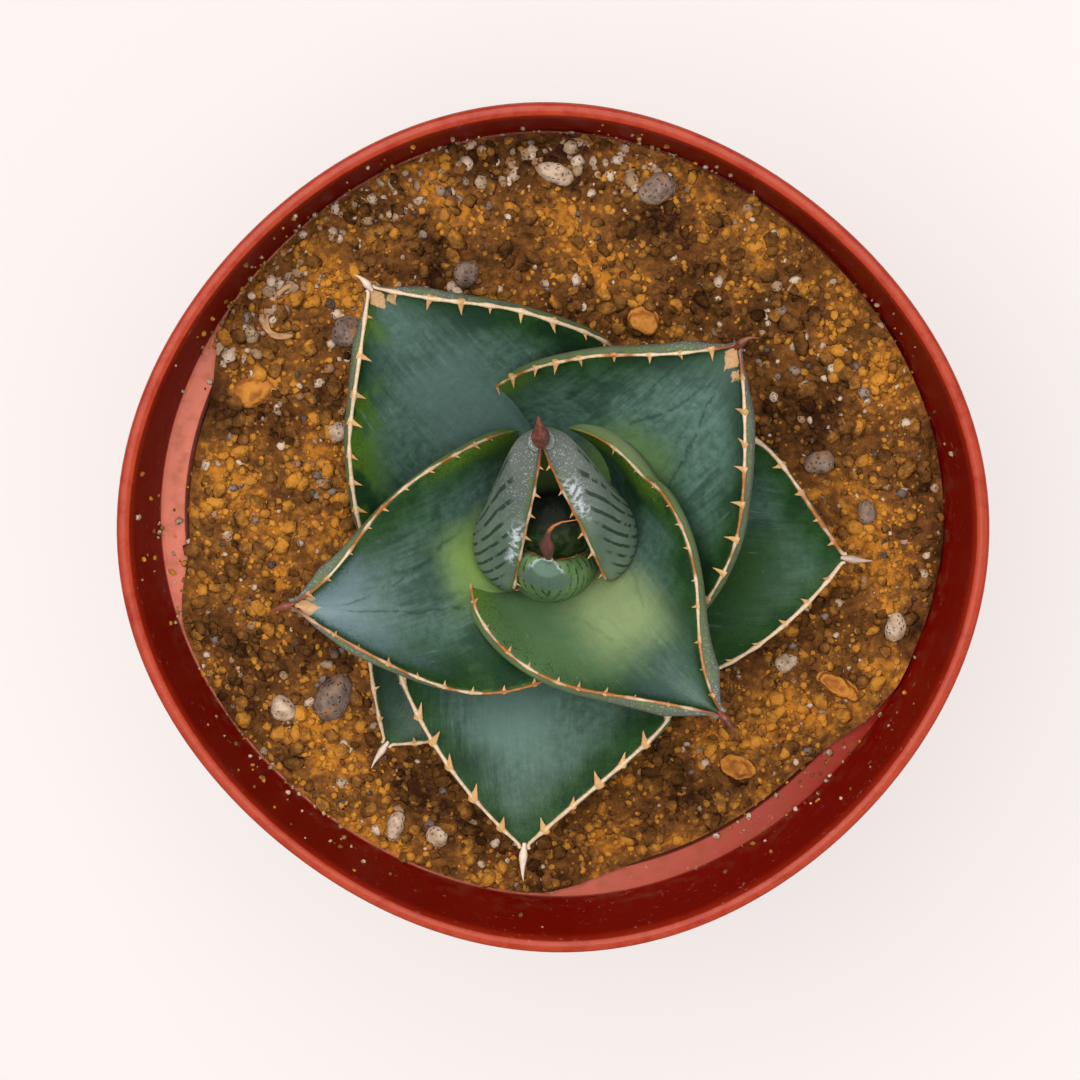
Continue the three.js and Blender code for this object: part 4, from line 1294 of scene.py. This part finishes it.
def terminal_spine(leaf, look):
    end = Station(leaf, 1)
    base = end.middle + end.normal * min(end.radius, 0.5)
    swell = look.get("swell", 0.25)
    line, radii = [], []
    for k in range(SPINE_POINTS + 1):
        t = -SPINE_ROOT + (1 + SPINE_ROOT) * k / SPINE_POINTS
        bend = (end.normal * look["hook"][0] * max(t, 0) ** 2
                + end.side * look["hook"][1] * max(t, 0) ** look.get("turn", 3.5)
                + end.side * look.get("sway", 0) * max(t, 0))
        line.append(base + end.along * look["spine"] * t + bend)
        if t < swell:
            share = 0.25 + 0.33 * smooth((t + SPINE_ROOT) / (swell + SPINE_ROOT))
        else:
            gone = ((t - swell) / (1 - swell)) ** look.get("taper", 0.9)
            share = 0.58 * (1 - 0.95 * gone)
        radii.append(look["girth"] * share)
    spine = cord("spine", line, radii, sides=12)
    share = far_from(spine, base) / look["spine"]
    set_attribute(spine.data, "horn", 1 + 0.5 * np.clip(share, 0, 1))
    return spine


def arms(name, leaf, look):
    """All the horn of one leaf as one piece: two margins with teeth, and the spine."""
    pick = random.Random("arms " + name)
    parts = [part for s in (-1, 1) for part in margin_arms(leaf, look, s, pick)]
    piece = join("leaf_" + name + "_arms", parts + [terminal_spine(leaf, look)])
    set_attribute(piece.data, "rust", look["rust"])
    return piece


print("a tooth", len(tooth_model.data.polygons), "faces")


# %% [markdown]
# Horn is cream where it is young and dry, rusty in stretches, tan on the teeth and dark brown
# on the spines of the younger leaves. One finish paints all of it from the marks on it.

# %% Horn
horn, paint, shader = new_finish("horn", roughness=0.42)
kind, rust = paint.attribute("horn"), paint.attribute("rust")
patch = paint.grain(4.5, detail=2)
tiny = paint.grain(0.5, detail=3)
rusty = (patch + (rust - 0.5) * 0.5).ramp(0.46, 0.58)
strand = rusty.mix((0.6, 0.46, 0.32), (0.33, 0.105, 0.022))
strand = (tiny.ramp(0.4, 0.7) * 0.45).mix(strand, (0.45, 0.23, 0.065))
tan = tiny.mix((0.62, 0.38, 0.15), (0.42, 0.21, 0.07))
strand = (paint.attribute("legs") * rust.ramp(0.3, 0.5) * 0.85).mix(strand, (0.17, 0.036, 0.011))
strand = paint.attribute("young").mix(strand, (0.16, 0.2, 0.04))
color = kind.ramp(0.1, 0.4).mix(strand, tan)
brown = (patch * 0.6 + tiny * 0.4).ramp(0.4, 0.6).mix((0.045, 0.009, 0.005), (0.17, 0.035, 0.01))
brown = (rust.ramp(0.65, 0.75) * 0.7).mix(brown, (0.06, 0.018, 0.016))
brown = (kind.ramp(1.34, 1.42) * rust.ramp(0.65, 0.75)).mix(brown, (0.36, 0.12, 0.025))
spine_color = rust.ramp(0.15, 0.5).mix(tiny.mix((0.72, 0.6, 0.5), (0.5, 0.38, 0.28)), brown)
color = kind.ramp(0.85, 0.98).mix(color, spine_color)
feed(shader, "Base Color", color)
raise_surface(shader, tiny, 0.08)

# %% Arm every leaf
for name, leaf in LEAVES.items():
    settle(arms(name, leaf, ARMS[name]), "horn", horn, angle=50)
bpy.data.objects.remove(tooth_model)
